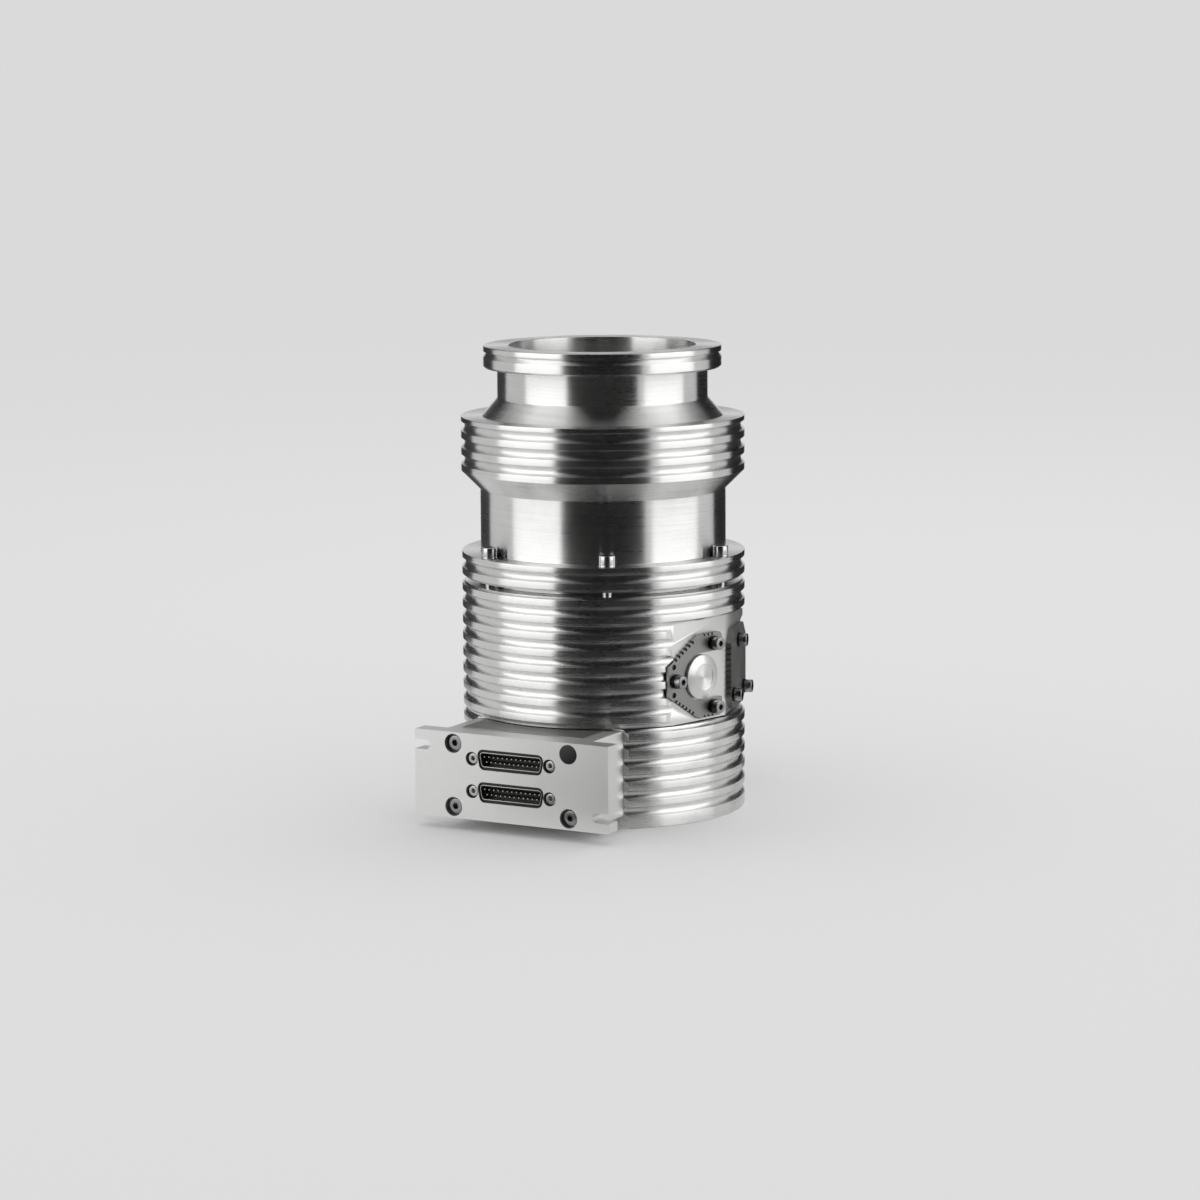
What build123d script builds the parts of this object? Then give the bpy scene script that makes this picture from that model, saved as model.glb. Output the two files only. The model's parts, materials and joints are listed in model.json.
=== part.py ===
"""Magnetically levitated turbomolecular pump with a DN 100 ISO-K inlet and a DN 25 KF fore-vacuum port.

Frame: the origin is the middle of the base's underside and +Z runs up the rotor axis to the inlet. The
connector box faces -Y, the two milled side facets meet at +X and the fore-vacuum port leaves at +Y.
All lengths are in millimetres. Every sub-part is written to its own STEP file in parts/.
"""

import os
from math import cos, radians, sin, sqrt, tan

from build123d import *

# ---- driving dimensions: envelope ------------------------------------------------------------------
flange_r = 65.0  # DN 100 ISO-K rim
flange_thick = 12.0
inlet_bore_r = 51.0  # recess for the centring ring
throat_step = 2.0  # the neck is wider than the recess by this much
neck_wall = 4.5
neck_length = 16.4
rib_reach = 10.3  # every rib stands out from the waist tube by this much
groove_depth = 2.0
groove_pitch = 9.0
groove_mouth = 5.3
groove_floor = 2.0
first_groove_z = 9.3
base_grooves = 5  # whole grooves on the base, the next one is shared with the housing
housing_grooves = 7  # whole grooves on the lower housing
slit_step = 0.8  # floor of the slit against the waist tube
slit_height = 2.0  # open joint line between the two housings
waist_flange_height = 13.8
waist_wall = 5.2
waist_tube_length = 34.1
collar_height = 29.5  # ribbed collar under the inlet
collar_grooves = 3
collar_first_groove = 6.3
shoulder_step = 11.5  # ledge on top of the collar
shoulder_rise = 9.8

# ---- driving dimensions: rotor and stator pack -------------------------------------------------------
spacer_wall = 10.5
pack_clear = 2.0  # pack stops this far under the collar's top
rotor_tip_r = 50.5
hub_r = 30.0
hub_wall = 6.0
row_height = 6.0
stator_height = 5.0
row_gap = 1.0  # axial gap between a rotor row and a stator disc
row_count = 6
rotor_blades = 20
stator_blades = 22
blade_thick = 1.6
blade_tilt = 40.0  # degrees from the axis
rotor_top_drop = 37.0  # inlet face to the top of the first blade row
root_sink = 1.0  # blades start this far inside the hub
eye_wall = 1.5
stator_rim_thick = 2.0
parting_gap = 0.2
drum_step = 1.0  # drum is wider than the blade tips
drum_wall = 2.5
drum_length = 61.0
drum_web = 4.0
drag_gap = 0.5
drag_stator_seat = 80.0
channel_count = 8
channel_depth = 3.0
channel_turn = 60.0  # degrees that each drag channel turns over the sleeve's height
rotor_head_rise = 2.0  # hub above the first blade row
hub_slope = 8.0  # cone round the hub's top
hub_slope_drop = 6.0
hub_top_wall = 14.0  # solid hub above the shaft's collar
clamp_thick = 3.0
bolt_length = 14.0

# ---- driving dimensions: shaft, bearings and motor ---------------------------------------------------
shaft_r = 8.0
shaft_foot_z = 26.0
spigot_r = 6.0
spigot_length = 12.0
spigot_drop = 2.0
shaft_collar_thick = 3.0
target_r = 10.5
air_gap = 0.4
carrier_bore_r = 19.5
carrier_neck_r = 22.0
carrier_body_r = 30.0
carrier_flange_r = 40.0
carrier_clear = 3.0  # turning rotor above the carrier
carrier_flange_thick = 6.0
thrust_disc_r = 24.0
thrust_disc_thick = 6.0
thrust_gap = 0.5
magnet_ring_thick = 8.0
touchdown_width = 7.0
sensor_width = 5.0
bearing_length = 20.0
motor_length = 36.0
stack_margin = 2.0
touchdown_gap = 0.25
race_thick = 1.8
ball_r = 1.5
ball_count = 9

# ---- driving dimensions: base, connector box and ports -----------------------------------------------
pad_wall = 6.0  # base wall left behind the flat that carries the connector box
base_floor = 12.0
base_core_r = 40.0
base_well_r = 30.0
cover_r = 44.0
cover_thick = 6.0
plate_width = 117.6
plate_height = 46.6
plate_thick = 10.0
plate_foot = 6.6
box_width = 89.0
box_depth = 33.6
box_wall = 4.0
label_thick = 0.5
label_side_margin = 7.5
label_end_margin = 4.0
label_shift = 1.0
box_screw_span = 70.0
box_screw_rise = 34.3
plug_rise = 17.6  # between the two connectors
plug_lift = 1.0  # the pair stands this far above the plate's middle
plug_lock_span = 47.04  # screw locks of a 25-way connector
plug_width = 41.3
plug_height = 11.1
plug_pitch = 2.77
plug_corner = 2.4
plug_shell = 0.8
plug_inset = 1.0  # shell inside the plate's cut-out
plug_flange = 3.0
lock_recess_r = 3.75
lock_r = 3.2
lock_bore_r = 1.4
lock_drop = 1.2
shell_drop = 0.4
pin_r = 0.5
pin_length = 5.0
pin_drop = 1.0
cap_clear = 0.95
cap_thick = 1.6
board_thick = 1.6
board_margin = 1.0
tooth_width = 1.3
tooth_depth = 1.4
tooth_pitch = 3.1
notch_shift = 0.1  # share of the edge
slot_width = 5.4
slot_depth = 9.5
slot_offset = 15.2  # slots stand this far above and below the plate's middle
facet_depth = 5.3  # milled into the ribs
facet_angles = (75.0, 105.0)  # facet normals, turned from -Y towards +X
facet_top = 109.6
side_plate_thick = 2.0
side_plate_reach = 25.0
side_plate_half = 22.9
side_plate_tail = 17.4
side_plate_point = 8.4
side_plate_knee = 1.0
side_plate_corner = 3.0
side_hole_r = 1.5
side_hole_inset = 4.0
side_hole_rise = 7.6
side_screw_pcd = 40.0
service_width = 40.0
service_height = 44.0
service_corner = 7.0
service_thick = 3.0
service_screw_rise = 14.0
service_screw_shift = 14.0
service_shift = 2.0  # the cover stands this far from the middle of its facet
vent_z = 78.5
vent_shift = 2.9  # the vent stands this far from the middle of its facet
vent_cap_r = 12.0
vent_bore_r = 4.0
vent_cap_rise = 2.6  # above the side cover
vent_cap_margin = 0.8
vent_spigot = 10.0
screw_washer = 1.8  # flat and spring washer together
port_bore_r = 12.0  # DN 25 KF
port_flange_r = 20.0
port_tube_r = 14.0
port_reach = 112.0
collar_margin = 3.0  # mounting collar against the KF flange
collar_thick = 5.0
kf_rim = 3.0
port_z = 28.0

# ---- driving dimensions: fasteners and clearances ----------------------------------------------------
m5_r = 2.5
m5_head_r = 4.25
m5_head_height = 5.0
m4_r = 2.0
m4_head_r = 3.5
m4_head_height = 4.0
m3_r = 1.5
m3_head_r = 2.75
m3_head_height = 3.0
socket_share = 0.5  # hexagon socket size against the head, and its depth
washer_thick = 1.0
washer_rim = 0.1
head_clear = 0.3  # between a waist screw's head and the tube
plate_screw_length = 15.0
waist_screw_length = 28.0
screw_count = 6
fit_gap = 0.05  # located pieces
screw_gap = 0.3  # shank in a clearance hole
seal_section = 3.0
seal_squeeze = 0.2
seal_shift = 0.5  # towards the bore

# ---- heights worked out from the above ---------------------------------------------------------------
split_z = first_groove_z + base_grooves * groove_pitch
slit_z = split_z + (housing_grooves + 1) * groove_pitch
housing_top = slit_z - slit_height / 2
waist_foot = slit_z + slit_height / 2
waist_top = waist_foot + waist_flange_height
spacer_bore_r = rotor_tip_r + row_gap
pack_bore_r = spacer_bore_r + spacer_wall  # holds the spacer rings
waist_tube_r = pack_bore_r + waist_wall
crest_r = waist_tube_r + rib_reach
shoulder_r = crest_r - shoulder_step
drum_r = rotor_tip_r + drum_step
exhaust_bore_r = drum_r + drag_gap + channel_depth
throat_r = inlet_bore_r + throat_step
neck_r = throat_r + neck_wall
pad_distance = exhaust_bore_r + pad_wall
facet_distance = crest_r - facet_depth
waist_screw_pcd = 2 * (waist_tube_r + m5_head_r + head_clear)
valley_r = crest_r - groove_depth
collar_cone = crest_r - waist_tube_r
collar_foot = waist_top + waist_tube_length + collar_cone
collar_top = collar_foot + collar_height
neck_foot = collar_top + shoulder_rise
flange_foot = neck_foot + neck_length
inlet_z = flange_foot + flange_thick
stage_pitch = row_height + stator_height + 2 * row_gap
rotor_row_top = inlet_z - rotor_top_drop
stator_mids = [rotor_row_top - row_height - row_gap - stator_height / 2 - n * stage_pitch
               for n in range(row_count - 1)]
rotor_row_feet = [rotor_row_top - row_height - n * stage_pitch for n in range(row_count)]
drum_top = rotor_row_feet[-1]
drum_foot = drum_top - drum_length
pack_top = collar_top - pack_clear
drag_stator_top = stator_mids[-1] - stator_rim_thick / 2 - row_height
rotor_head = rotor_row_top + rotor_head_rise
hub_cavity_r = hub_r - hub_wall
shaft_shoulder = rotor_head - spigot_length - hub_top_wall
hub_cavity_top = shaft_shoulder
carrier_top = hub_cavity_top - carrier_clear
carrier_neck_foot = drum_top - drum_web - 2 * carrier_clear
plate_mid = plate_foot + plate_height / 2
plate_back = pad_distance + box_depth
plate_front = plate_back + plate_thick
blade_root_r = hub_r - root_sink
stator_eye_r = hub_r + row_gap
waist_angles = [30 + 60 * n for n in range(screw_count)]


def around(radius, angle, z=0.0):
    """Point at a radius from the axis, turned by an angle from -Y towards +X."""
    return Vector(radius * sin(radians(angle)), -radius * cos(radians(angle)), z)


def side_plane(angle, distance, shift, z):
    """Plane that faces away from the axis, with its own X level and its own Y up."""
    normal = around(1.0, angle)
    tangent = around(1.0, angle + 90.0)
    return Plane(origin=normal * distance + tangent * shift + Vector(0, 0, z), x_dir=tangent, z_dir=normal)


def wall_radius(z, grooves):
    """Radius of a ribbed wall at one height."""
    in_floor = any(abs(z - centre) <= groove_floor / 2 for centre in grooves)
    return valley_r if in_floor else crest_r


def ribbed_wall(low, high, grooves):
    """Points (radius, z) up a wall with round ribs from low to high."""
    points = [(wall_radius(low, grooves), low)]
    for centre in grooves:
        corners = ((-groove_mouth / 2, crest_r), (-groove_floor / 2, valley_r),
                   (groove_floor / 2, valley_r), (groove_mouth / 2, crest_r))
        points += [(radius, centre + step) for step, radius in corners if low < centre + step < high]
    return points + [(wall_radius(high, grooves), high)]


def turned(points):
    """Solid of revolution about the pump axis from a closed outline of (radius, z) points."""
    with BuildPart(mode=Mode.PRIVATE) as body:
        with BuildSketch(Plane.XZ):
            with BuildLine():
                Polyline(*points, close=True)
            make_face()
        revolve(axis=Axis.Z)
    return body.part


def ring(inner, outer, low, high):
    """Plain turned ring between two radii and two heights."""
    return turned([(inner, low), (outer, low), (outer, high), (inner, high)])


def cap_screw(radius, length, head_r, head_height):
    """Socket head cap screw that points down -Z, with the head's seat at the origin."""
    with BuildPart(mode=Mode.PRIVATE) as screw:
        Cylinder(head_r, head_height, align=(Align.CENTER, Align.CENTER, Align.MIN))
        Cylinder(radius, length, align=(Align.CENTER, Align.CENTER, Align.MAX))
        with BuildSketch(Plane.XY.offset(head_height)):
            RegularPolygon(head_r * socket_share, 6)
        extrude(amount=-head_height * socket_share, mode=Mode.SUBTRACT)
    return screw.part


def group(label, solids):
    """One labelled node from several separate solids."""
    node = Compound(children=list(solids))
    node.label = label
    return node


parts = {}
fins = [first_groove_z + groove_pitch * n for n in range(base_grooves + housing_grooves + 3)]
collar_fins = [collar_foot + collar_first_groove + groove_pitch * n for n in range(collar_grooves)]

# ---- inlet housing: ISO-K flange, neck, ribbed collar, waist tube and bolted waist flange ------------
lip = flange_thick / 4
rim_groove = 1.6
inlet_outline = [(inlet_bore_r, inlet_z), (flange_r, inlet_z), (flange_r, inlet_z - lip),
                 (flange_r - rim_groove, inlet_z - lip - rim_groove / 2),
                 (flange_r, inlet_z - lip - 2 * rim_groove), (flange_r, flange_foot + 1.0),
                 (flange_r - 1.0, flange_foot), (neck_r, flange_foot), (neck_r, neck_foot),
                 (shoulder_r, collar_top)]
inlet_outline += reversed(ribbed_wall(collar_foot, collar_top, collar_fins))
inlet_outline += [(waist_tube_r, collar_foot - collar_cone), (waist_tube_r, waist_top)]
inlet_outline += reversed(ribbed_wall(waist_foot, waist_top, fins))
slit_floor_r = waist_tube_r + slit_step
inlet_outline += [(slit_floor_r, waist_foot), (slit_floor_r, housing_top), (pack_bore_r, housing_top),
                  (pack_bore_r, pack_top), (throat_r, pack_top), (throat_r, flange_foot),
                  (inlet_bore_r, flange_foot)]
with BuildPart() as inlet_housing:
    add(turned(inlet_outline))
    with BuildSketch(Plane.XY.offset(waist_top)):
        with Locations(*[around(waist_screw_pcd / 2, angle) for angle in waist_angles]):
            Circle(m5_r + screw_gap)
    extrude(amount=waist_foot - waist_top, mode=Mode.SUBTRACT)
parts["inlet_housing"] = inlet_housing.part

# ---- lower housing: ribbed, with two milled facets for the side covers -------------------------------
seal_r = (pack_bore_r + slit_floor_r) / 2 - seal_shift
seal_depth = seal_section - seal_squeeze
groove_low, groove_high = seal_r - seal_section / 2, seal_r + seal_section / 2
housing_outline = ribbed_wall(split_z, housing_top, fins)
housing_outline += [(groove_high, housing_top), (groove_high, housing_top - seal_depth),
                    (groove_low, housing_top - seal_depth), (groove_low, housing_top),
                    (pack_bore_r, housing_top), (pack_bore_r, drag_stator_seat),
                    (exhaust_bore_r, drag_stator_seat), (exhaust_bore_r, split_z)]
vent_plane = side_plane(facet_angles[0], facet_distance, -vent_shift, vent_z)
with BuildPart() as lower_housing:
    add(turned(housing_outline))
    for facet in facet_angles:
        with Locations(side_plane(facet, facet_distance, 0, split_z)):
            Box(2 * crest_r, facet_top - split_z, crest_r, mode=Mode.SUBTRACT,
                align=(Align.CENTER, Align.MIN, Align.MIN))
    with BuildSketch(Plane.XY.offset(housing_top)):
        with Locations(*[around(waist_screw_pcd / 2, angle) for angle in waist_angles]):
            Circle(m5_r + fit_gap)
    extrude(amount=-(waist_screw_length - waist_flange_height), mode=Mode.SUBTRACT)
    with Locations(vent_plane):
        Hole(vent_bore_r, depth=facet_distance - exhaust_bore_r + vent_bore_r)
parts["lower_housing"] = lower_housing.part

parts["waist_seal"] = ring(groove_low + fit_gap, groove_high - fit_gap, housing_top - seal_depth, housing_top)

with BuildPart() as waist_screws:
    with Locations(*[around(waist_screw_pcd / 2, angle, waist_top + washer_thick) for angle in waist_angles]):
        add(cap_screw(m5_r, waist_screw_length, m5_head_r, m5_head_height))
parts["waist_screws"] = waist_screws.part

washer = ring(m5_r + fit_gap, m5_head_r + washer_rim, waist_top, waist_top + washer_thick)
with BuildPart() as waist_washers:
    with Locations(*[around(waist_screw_pcd / 2, angle) for angle in waist_angles]):
        add(washer)
parts["waist_washers"] = waist_washers.part

# ---- base: ribbed, open exhaust ring inside, connector pad at -Y and port pad at +Y ------------------
collar_r = port_flange_r + collar_margin
port_pad = sqrt(valley_r**2 - collar_r**2)
base_outline = ribbed_wall(0, split_z, fins)
base_outline += [(exhaust_bore_r, split_z), (exhaust_bore_r, base_floor), (base_core_r, base_floor),
                 (base_core_r, split_z), (base_well_r, split_z), (base_well_r, cover_thick),
                 (cover_r, cover_thick), (cover_r, 0)]
port_plane = side_plane(180.0, port_pad, 0, port_z)
with BuildPart() as base:
    add(turned(base_outline))
    with Locations(side_plane(0, pad_distance, 0, 0), side_plane(180.0, port_pad, 0, 0)):
        Box(2 * crest_r, split_z, crest_r, mode=Mode.SUBTRACT, align=(Align.CENTER, Align.MIN, Align.MIN))
    with Locations(port_plane):
        Cylinder(port_tube_r + fit_gap, 2 * (port_pad - exhaust_bore_r) + 4.0, mode=Mode.SUBTRACT)
parts["base"] = base.part

with BuildPart() as bottom_cover:
    add(ring(0, cover_r - fit_gap, 0, cover_thick))
    with BuildSketch(Plane.XY):
        with PolarLocations(cover_r - 2 * m4_head_r, screw_count):
            Circle(m4_head_r + screw_gap)
    extrude(amount=m4_head_height, mode=Mode.SUBTRACT)
    with BuildSketch(Plane.XY):
        with PolarLocations(cover_r - 2 * m4_head_r, screw_count):
            Circle(m4_r + fit_gap)
    extrude(amount=cover_thick, mode=Mode.SUBTRACT)
parts["bottom_cover"] = bottom_cover.part

with BuildPart() as cover_screws:
    with Locations(Plane(origin=(0, 0, m4_head_height), x_dir=(1, 0, 0), z_dir=(0, 0, -1))):
        with PolarLocations(cover_r - 2 * m4_head_r, screw_count):
            add(cap_screw(m4_r, cover_thick - m4_head_height, m4_head_r, m4_head_height))
parts["cover_screws"] = cover_screws.part

# ---- fore-vacuum port: KF flange on a tube with a round mounting collar ------------------------------
kf_cone = (port_flange_r - port_tube_r) * tan(radians(15.0))
reach = port_reach - port_pad
port_screw_pcd = port_tube_r + collar_r
port_outline = [(port_bore_r, -(port_pad - exhaust_bore_r)), (port_tube_r, -(port_pad - exhaust_bore_r)),
                (port_tube_r, 0), (collar_r, 0), (collar_r, collar_thick), (port_tube_r, collar_thick),
                (port_tube_r, reach - kf_rim - kf_cone), (port_flange_r, reach - kf_rim),
                (port_flange_r, reach), (port_bore_r, reach)]
with BuildPart(Plane.XY) as fore_port:
    add(port_plane * turned(port_outline))
    with Locations(port_plane.offset(collar_thick)):
        with PolarLocations(port_screw_pcd / 2, 4, start_angle=45):
            Hole(m4_r + screw_gap, depth=collar_thick)
parts["fore_port"] = fore_port.part

with BuildPart() as port_screws:
    with Locations(port_plane.offset(collar_thick)):
        with PolarLocations(port_screw_pcd / 2, 4, start_angle=45):
            add(cap_screw(m4_r, collar_thick, m4_head_r, m4_head_height))
parts["port_screws"] = port_screws.part

# ---- rotor: bell hub with leaning blade rows and a drag drum -----------------------------------------


def blade(low, height, inner, outer, lean, thick):
    """Flat leaning blade along +X between two radii, with level top and bottom edges."""
    rise = height * tan(radians(lean)) / 2
    half = thick / cos(radians(lean)) / 2
    edge = sqrt(outer**2 - (abs(rise) + half) ** 2)
    with BuildPart(mode=Mode.PRIVATE) as vane:
        with BuildSketch(Plane.YZ.offset(inner)):
            with BuildLine():
                Polyline((-rise - half, low), (-rise + half, low), (rise + half, low + height),
                         (rise - half, low + height), close=True)
            make_face()
        extrude(amount=edge - inner)
    return vane.part


hub_outline = [(spigot_r + fit_gap, rotor_head), (hub_r - hub_slope, rotor_head),
               (hub_r, rotor_head - hub_slope_drop),
               (hub_r, drum_top), (drum_r, drum_top), (drum_r, drum_foot), (drum_r - drum_wall, drum_foot),
               (drum_r - drum_wall, drum_top - drum_web), (hub_cavity_r, drum_top - drum_web),
               (hub_cavity_r, hub_cavity_top), (spigot_r + fit_gap, hub_cavity_top)]
with BuildPart() as turbine:
    add(turned(hub_outline))
    for foot in rotor_row_feet:
        with PolarLocations(0, rotor_blades):
            add(blade(foot, row_height, blade_root_r, rotor_tip_r, blade_tilt, blade_thick))
parts["turbine"] = turbine.part

# ---- stator discs in halves, spacer rings and the drag-stage sleeve ----------------------------------
spacer_r = pack_bore_r - fit_gap
for number, middle in enumerate(stator_mids, start=1):
    with BuildPart() as stator_disc:
        add(ring(rotor_tip_r, spacer_r, middle - stator_rim_thick / 2, middle + stator_rim_thick / 2))
        half = stator_height / 2
        add(ring(stator_eye_r, stator_eye_r + eye_wall, middle - half, middle + half))
        with PolarLocations(0, stator_blades, start_angle=180 / stator_blades):
            add(blade(middle - stator_height / 2, stator_height, stator_eye_r + eye_wall / 2,
                      spacer_bore_r - fit_gap, -blade_tilt, blade_thick))
        with Locations((0, 0, middle)):
            Box(2 * pack_bore_r, parting_gap, stage_pitch, mode=Mode.SUBTRACT)
    parts[f"stator_disc_{number}"] = stator_disc.part

rims = [drag_stator_top, *[middle for middle in reversed(stator_mids)], pack_top]
spacers = []
for number, (low, high) in enumerate(zip(rims, rims[1:])):
    foot = low if number == 0 else low + stator_rim_thick / 2
    head = high if high == pack_top else high - stator_rim_thick / 2
    spacers.append(ring(spacer_bore_r, spacer_r, foot, head))
parts["spacer_rings"] = group("spacer_rings", spacers)

drag_bore_r = drum_r + drag_gap
with BuildPart() as drag_stator:
    add(ring(drag_bore_r, spacer_r, drag_stator_seat, drag_stator_top))
    sleeve_height = drag_stator_top - drag_stator_seat
    with BuildLine(mode=Mode.PRIVATE) as channel_path:
        Helix(pitch=sleeve_height * 360 / channel_turn, height=sleeve_height + 4.0, radius=drag_bore_r,
              center=(0, 0, drag_stator_seat - 2.0))
    with BuildSketch(Plane(origin=channel_path.line @ 0, x_dir=(1, 0, 0), z_dir=channel_path.line % 0),
                     mode=Mode.PRIVATE) as channel_section:
        Rectangle(2 * channel_depth, 3 * channel_depth)
    channel = sweep(channel_section.sketch, path=channel_path.line, is_frenet=True, mode=Mode.PRIVATE)
    with PolarLocations(0, channel_count):
        add(channel, mode=Mode.SUBTRACT)
parts["drag_stator"] = drag_stator.part

# ---- bearing carrier: flanged column that stands inside the rotor bell -------------------------------
carrier_seat = split_z
carrier_outline = [(carrier_bore_r, carrier_seat), (carrier_flange_r, carrier_seat),
                   (carrier_flange_r, carrier_seat + carrier_flange_thick),
                   (carrier_body_r, carrier_seat + carrier_flange_thick), (carrier_body_r, carrier_neck_foot),
                   (carrier_neck_r, carrier_neck_foot), (carrier_neck_r, carrier_top),
                   (carrier_bore_r, carrier_top)]
with BuildPart() as bearing_carrier:
    add(turned(carrier_outline))
    with Locations((0, 0, carrier_seat + carrier_flange_thick)):
        with PolarLocations((carrier_body_r + carrier_flange_r) / 2, screw_count):
            Hole(m4_r + screw_gap, depth=carrier_flange_thick)
parts["bearing_carrier"] = bearing_carrier.part

with BuildPart() as carrier_screws:
    with Locations((0, 0, carrier_seat + carrier_flange_thick)):
        with PolarLocations((carrier_body_r + carrier_flange_r) / 2, screw_count):
            add(cap_screw(m4_r, carrier_flange_thick, m4_head_r, m4_head_height))
parts["carrier_screws"] = carrier_screws.part

# ---- shaft and what turns with it --------------------------------------------------------------------
thrust_z = shaft_foot_z + magnet_ring_thick
spigot_top = rotor_head - spigot_drop
shaft_outline = [(0, shaft_foot_z), (shaft_r, shaft_foot_z), (shaft_r, shaft_shoulder - shaft_collar_thick),
                 (target_r, shaft_shoulder - shaft_collar_thick), (target_r, shaft_shoulder),
                 (spigot_r, shaft_shoulder), (spigot_r, spigot_top), (m5_r + fit_gap, spigot_top),
                 (m5_r + fit_gap, spigot_top - spigot_length), (0, spigot_top - spigot_length)]
parts["shaft"] = turned(shaft_outline)
parts["thrust_disc"] = ring(shaft_r + fit_gap, thrust_disc_r, thrust_z, thrust_z + thrust_disc_thick)
parts["rotor_clamp"] = ring(m5_r + screw_gap, 2 * spigot_r, rotor_head, rotor_head + clamp_thick)
with BuildPart() as rotor_bolt:
    with Locations((0, 0, rotor_head + clamp_thick)):
        add(cap_screw(m5_r, bolt_length, m5_head_r, m5_head_height))
parts["rotor_bolt"] = rotor_bolt.part

# ---- bearings, sensors and motor stacked in the carrier's bore ---------------------------------------
seat_r = carrier_bore_r - fit_gap
magnet_bore_r = target_r + air_gap
stack = [("lower_touchdown", touchdown_width), ("lower_sensor", sensor_width),
         ("lower_bearing", bearing_length), ("motor", motor_length), ("upper_bearing", bearing_length),
         ("upper_sensor", sensor_width), ("upper_touchdown", touchdown_width)]
stack_foot = carrier_seat + stack_margin
stack_space = carrier_top - stack_margin - stack_foot - sum(length for _, length in stack)
stack_gap = stack_space / (len(stack) - 1)
foot = stack_foot
for name, length in stack:
    if name.endswith("touchdown"):
        inner_r = shaft_r + touchdown_gap
        parts[f"{name}_inner_race"] = ring(inner_r, inner_r + race_thick, foot, foot + length)
        parts[f"{name}_outer_race"] = ring(inner_r + race_thick + fit_gap, seat_r, foot, foot + length)
    elif name.endswith("sensor"):
        parts[name] = ring(shaft_r + air_gap, seat_r, foot, foot + length)
    else:
        parts[f"{name}_stator"] = ring(magnet_bore_r, seat_r, foot, foot + length)
        parts[f"{name}_rotor"] = ring(shaft_r + fit_gap, target_r, foot, foot + length)
    foot += length + stack_gap

well_seat_r = base_well_r - fit_gap
lower_magnet_top = thrust_z - thrust_gap
upper_magnet_foot = thrust_z + thrust_disc_thick + thrust_gap
parts["lower_axial_magnet"] = ring(magnet_bore_r, well_seat_r, lower_magnet_top - magnet_ring_thick,
                                   lower_magnet_top)
parts["upper_axial_magnet"] = ring(magnet_bore_r, well_seat_r, upper_magnet_foot,
                                   upper_magnet_foot + magnet_ring_thick)
parts["axial_sensor"] = ring(0, well_seat_r, cover_thick, shaft_foot_z - magnet_ring_thick)

# ---- connector box on the base's flat: housing, board, front plate and two 25-way connectors ---------
front = side_plane(0, plate_front, 0, plate_mid)  # its own X runs along +X and its own Y up
back = front.offset(-plate_thick)
plug_rows = {"upper": plug_lift + plug_rise / 2, "lower": plug_lift - plug_rise / 2}
lock_places = [(side * plug_lock_span / 2, height) for side in (-1, 1) for height in plug_rows.values()]
cap_bore_r = m5_head_r + cap_clear
screw_recess = m5_head_height + cap_thick
boss = (plate_height - box_screw_rise) / 2 - fit_gap
plug_seat = plate_thick - shell_drop - pin_length - pin_drop


def plug_outline(height, inset=0.0):
    """Closed D-shaped sketch of a 25-way connector, wider at the top, at a height on the front plane."""
    high = plug_height / 2 - inset
    wide = plug_width / 2 - inset
    narrow = wide - 2 * high * tan(radians(10))
    with BuildSketch(mode=Mode.PRIVATE) as outline:
        with Locations((0, height)):
            with BuildSketch(mode=Mode.PRIVATE) as shape:
                with BuildLine():
                    Polyline((-wide, high), (wide, high), (narrow, -high), (-narrow, -high), close=True)
                make_face()
                fillet(shape.vertices(), plug_corner - inset)
            add(shape.sketch)
    return outline.sketch


with BuildPart() as connector_box:
    with BuildSketch(back):
        Rectangle(box_width, plate_height)
    extrude(amount=-box_depth)
    with BuildSketch(back):
        Rectangle(box_width - 2 * box_wall, plate_height - 2 * box_wall)
    extrude(amount=-(box_depth - box_wall), mode=Mode.SUBTRACT)
    with BuildSketch(back):
        with GridLocations(box_screw_span, box_screw_rise, 2, 2):
            Circle(boss)
    extrude(amount=-(box_depth - box_wall))
    with BuildSketch(back):
        with GridLocations(box_screw_span, box_screw_rise, 2, 2):
            Circle(m5_r + fit_gap)
    extrude(amount=-3 * plate_thick / 2, mode=Mode.SUBTRACT)
parts["connector_box"] = connector_box.part

with BuildPart() as label_plate:
    with Locations((0, -(pad_distance + plate_back) / 2 - label_shift, plate_foot + plate_height)):
        Box(box_width - 2 * label_side_margin, box_depth - 2 * label_end_margin, label_thick,
            align=(Align.CENTER, Align.CENTER, Align.MIN))
parts["label_plate"] = label_plate.part

with BuildPart() as connector_plate:
    with BuildSketch(front):
        Rectangle(plate_width, plate_height)
        for side in (-1, 1):
            with Locations((side * (plate_width / 2 - slot_depth / 2 + slot_width / 4), -side * slot_offset)):
                SlotOverall(slot_depth + slot_width / 2, slot_width, mode=Mode.SUBTRACT)
            with Locations((side * (plate_width - slot_width / 2) / 2, -side * slot_offset)):
                Rectangle(slot_width / 2, slot_width, mode=Mode.SUBTRACT)
        for height in plug_rows.values():
            add(plug_outline(height), mode=Mode.SUBTRACT)
    extrude(amount=-plate_thick)
    with BuildSketch(front):
        with GridLocations(box_screw_span, box_screw_rise, 2, 2):
            Circle(cap_bore_r)
    extrude(amount=-screw_recess, mode=Mode.SUBTRACT)
    with BuildSketch(front):
        with GridLocations(box_screw_span, box_screw_rise, 2, 2):
            Circle(m5_r + screw_gap)
    extrude(amount=-plate_thick, mode=Mode.SUBTRACT)
    with BuildSketch(front):
        with Locations(*lock_places):
            Circle(lock_recess_r)
    extrude(amount=-lock_drop - plate_thick / 2, mode=Mode.SUBTRACT)
parts["connector_plate"] = connector_plate.part

with BuildPart() as plate_screws:
    with Locations(front.offset(-screw_recess)):
        with GridLocations(box_screw_span, box_screw_rise, 2, 2):
            add(cap_screw(m5_r, plate_screw_length, m5_head_r, m5_head_height))
parts["plate_screws"] = plate_screws.part

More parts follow.
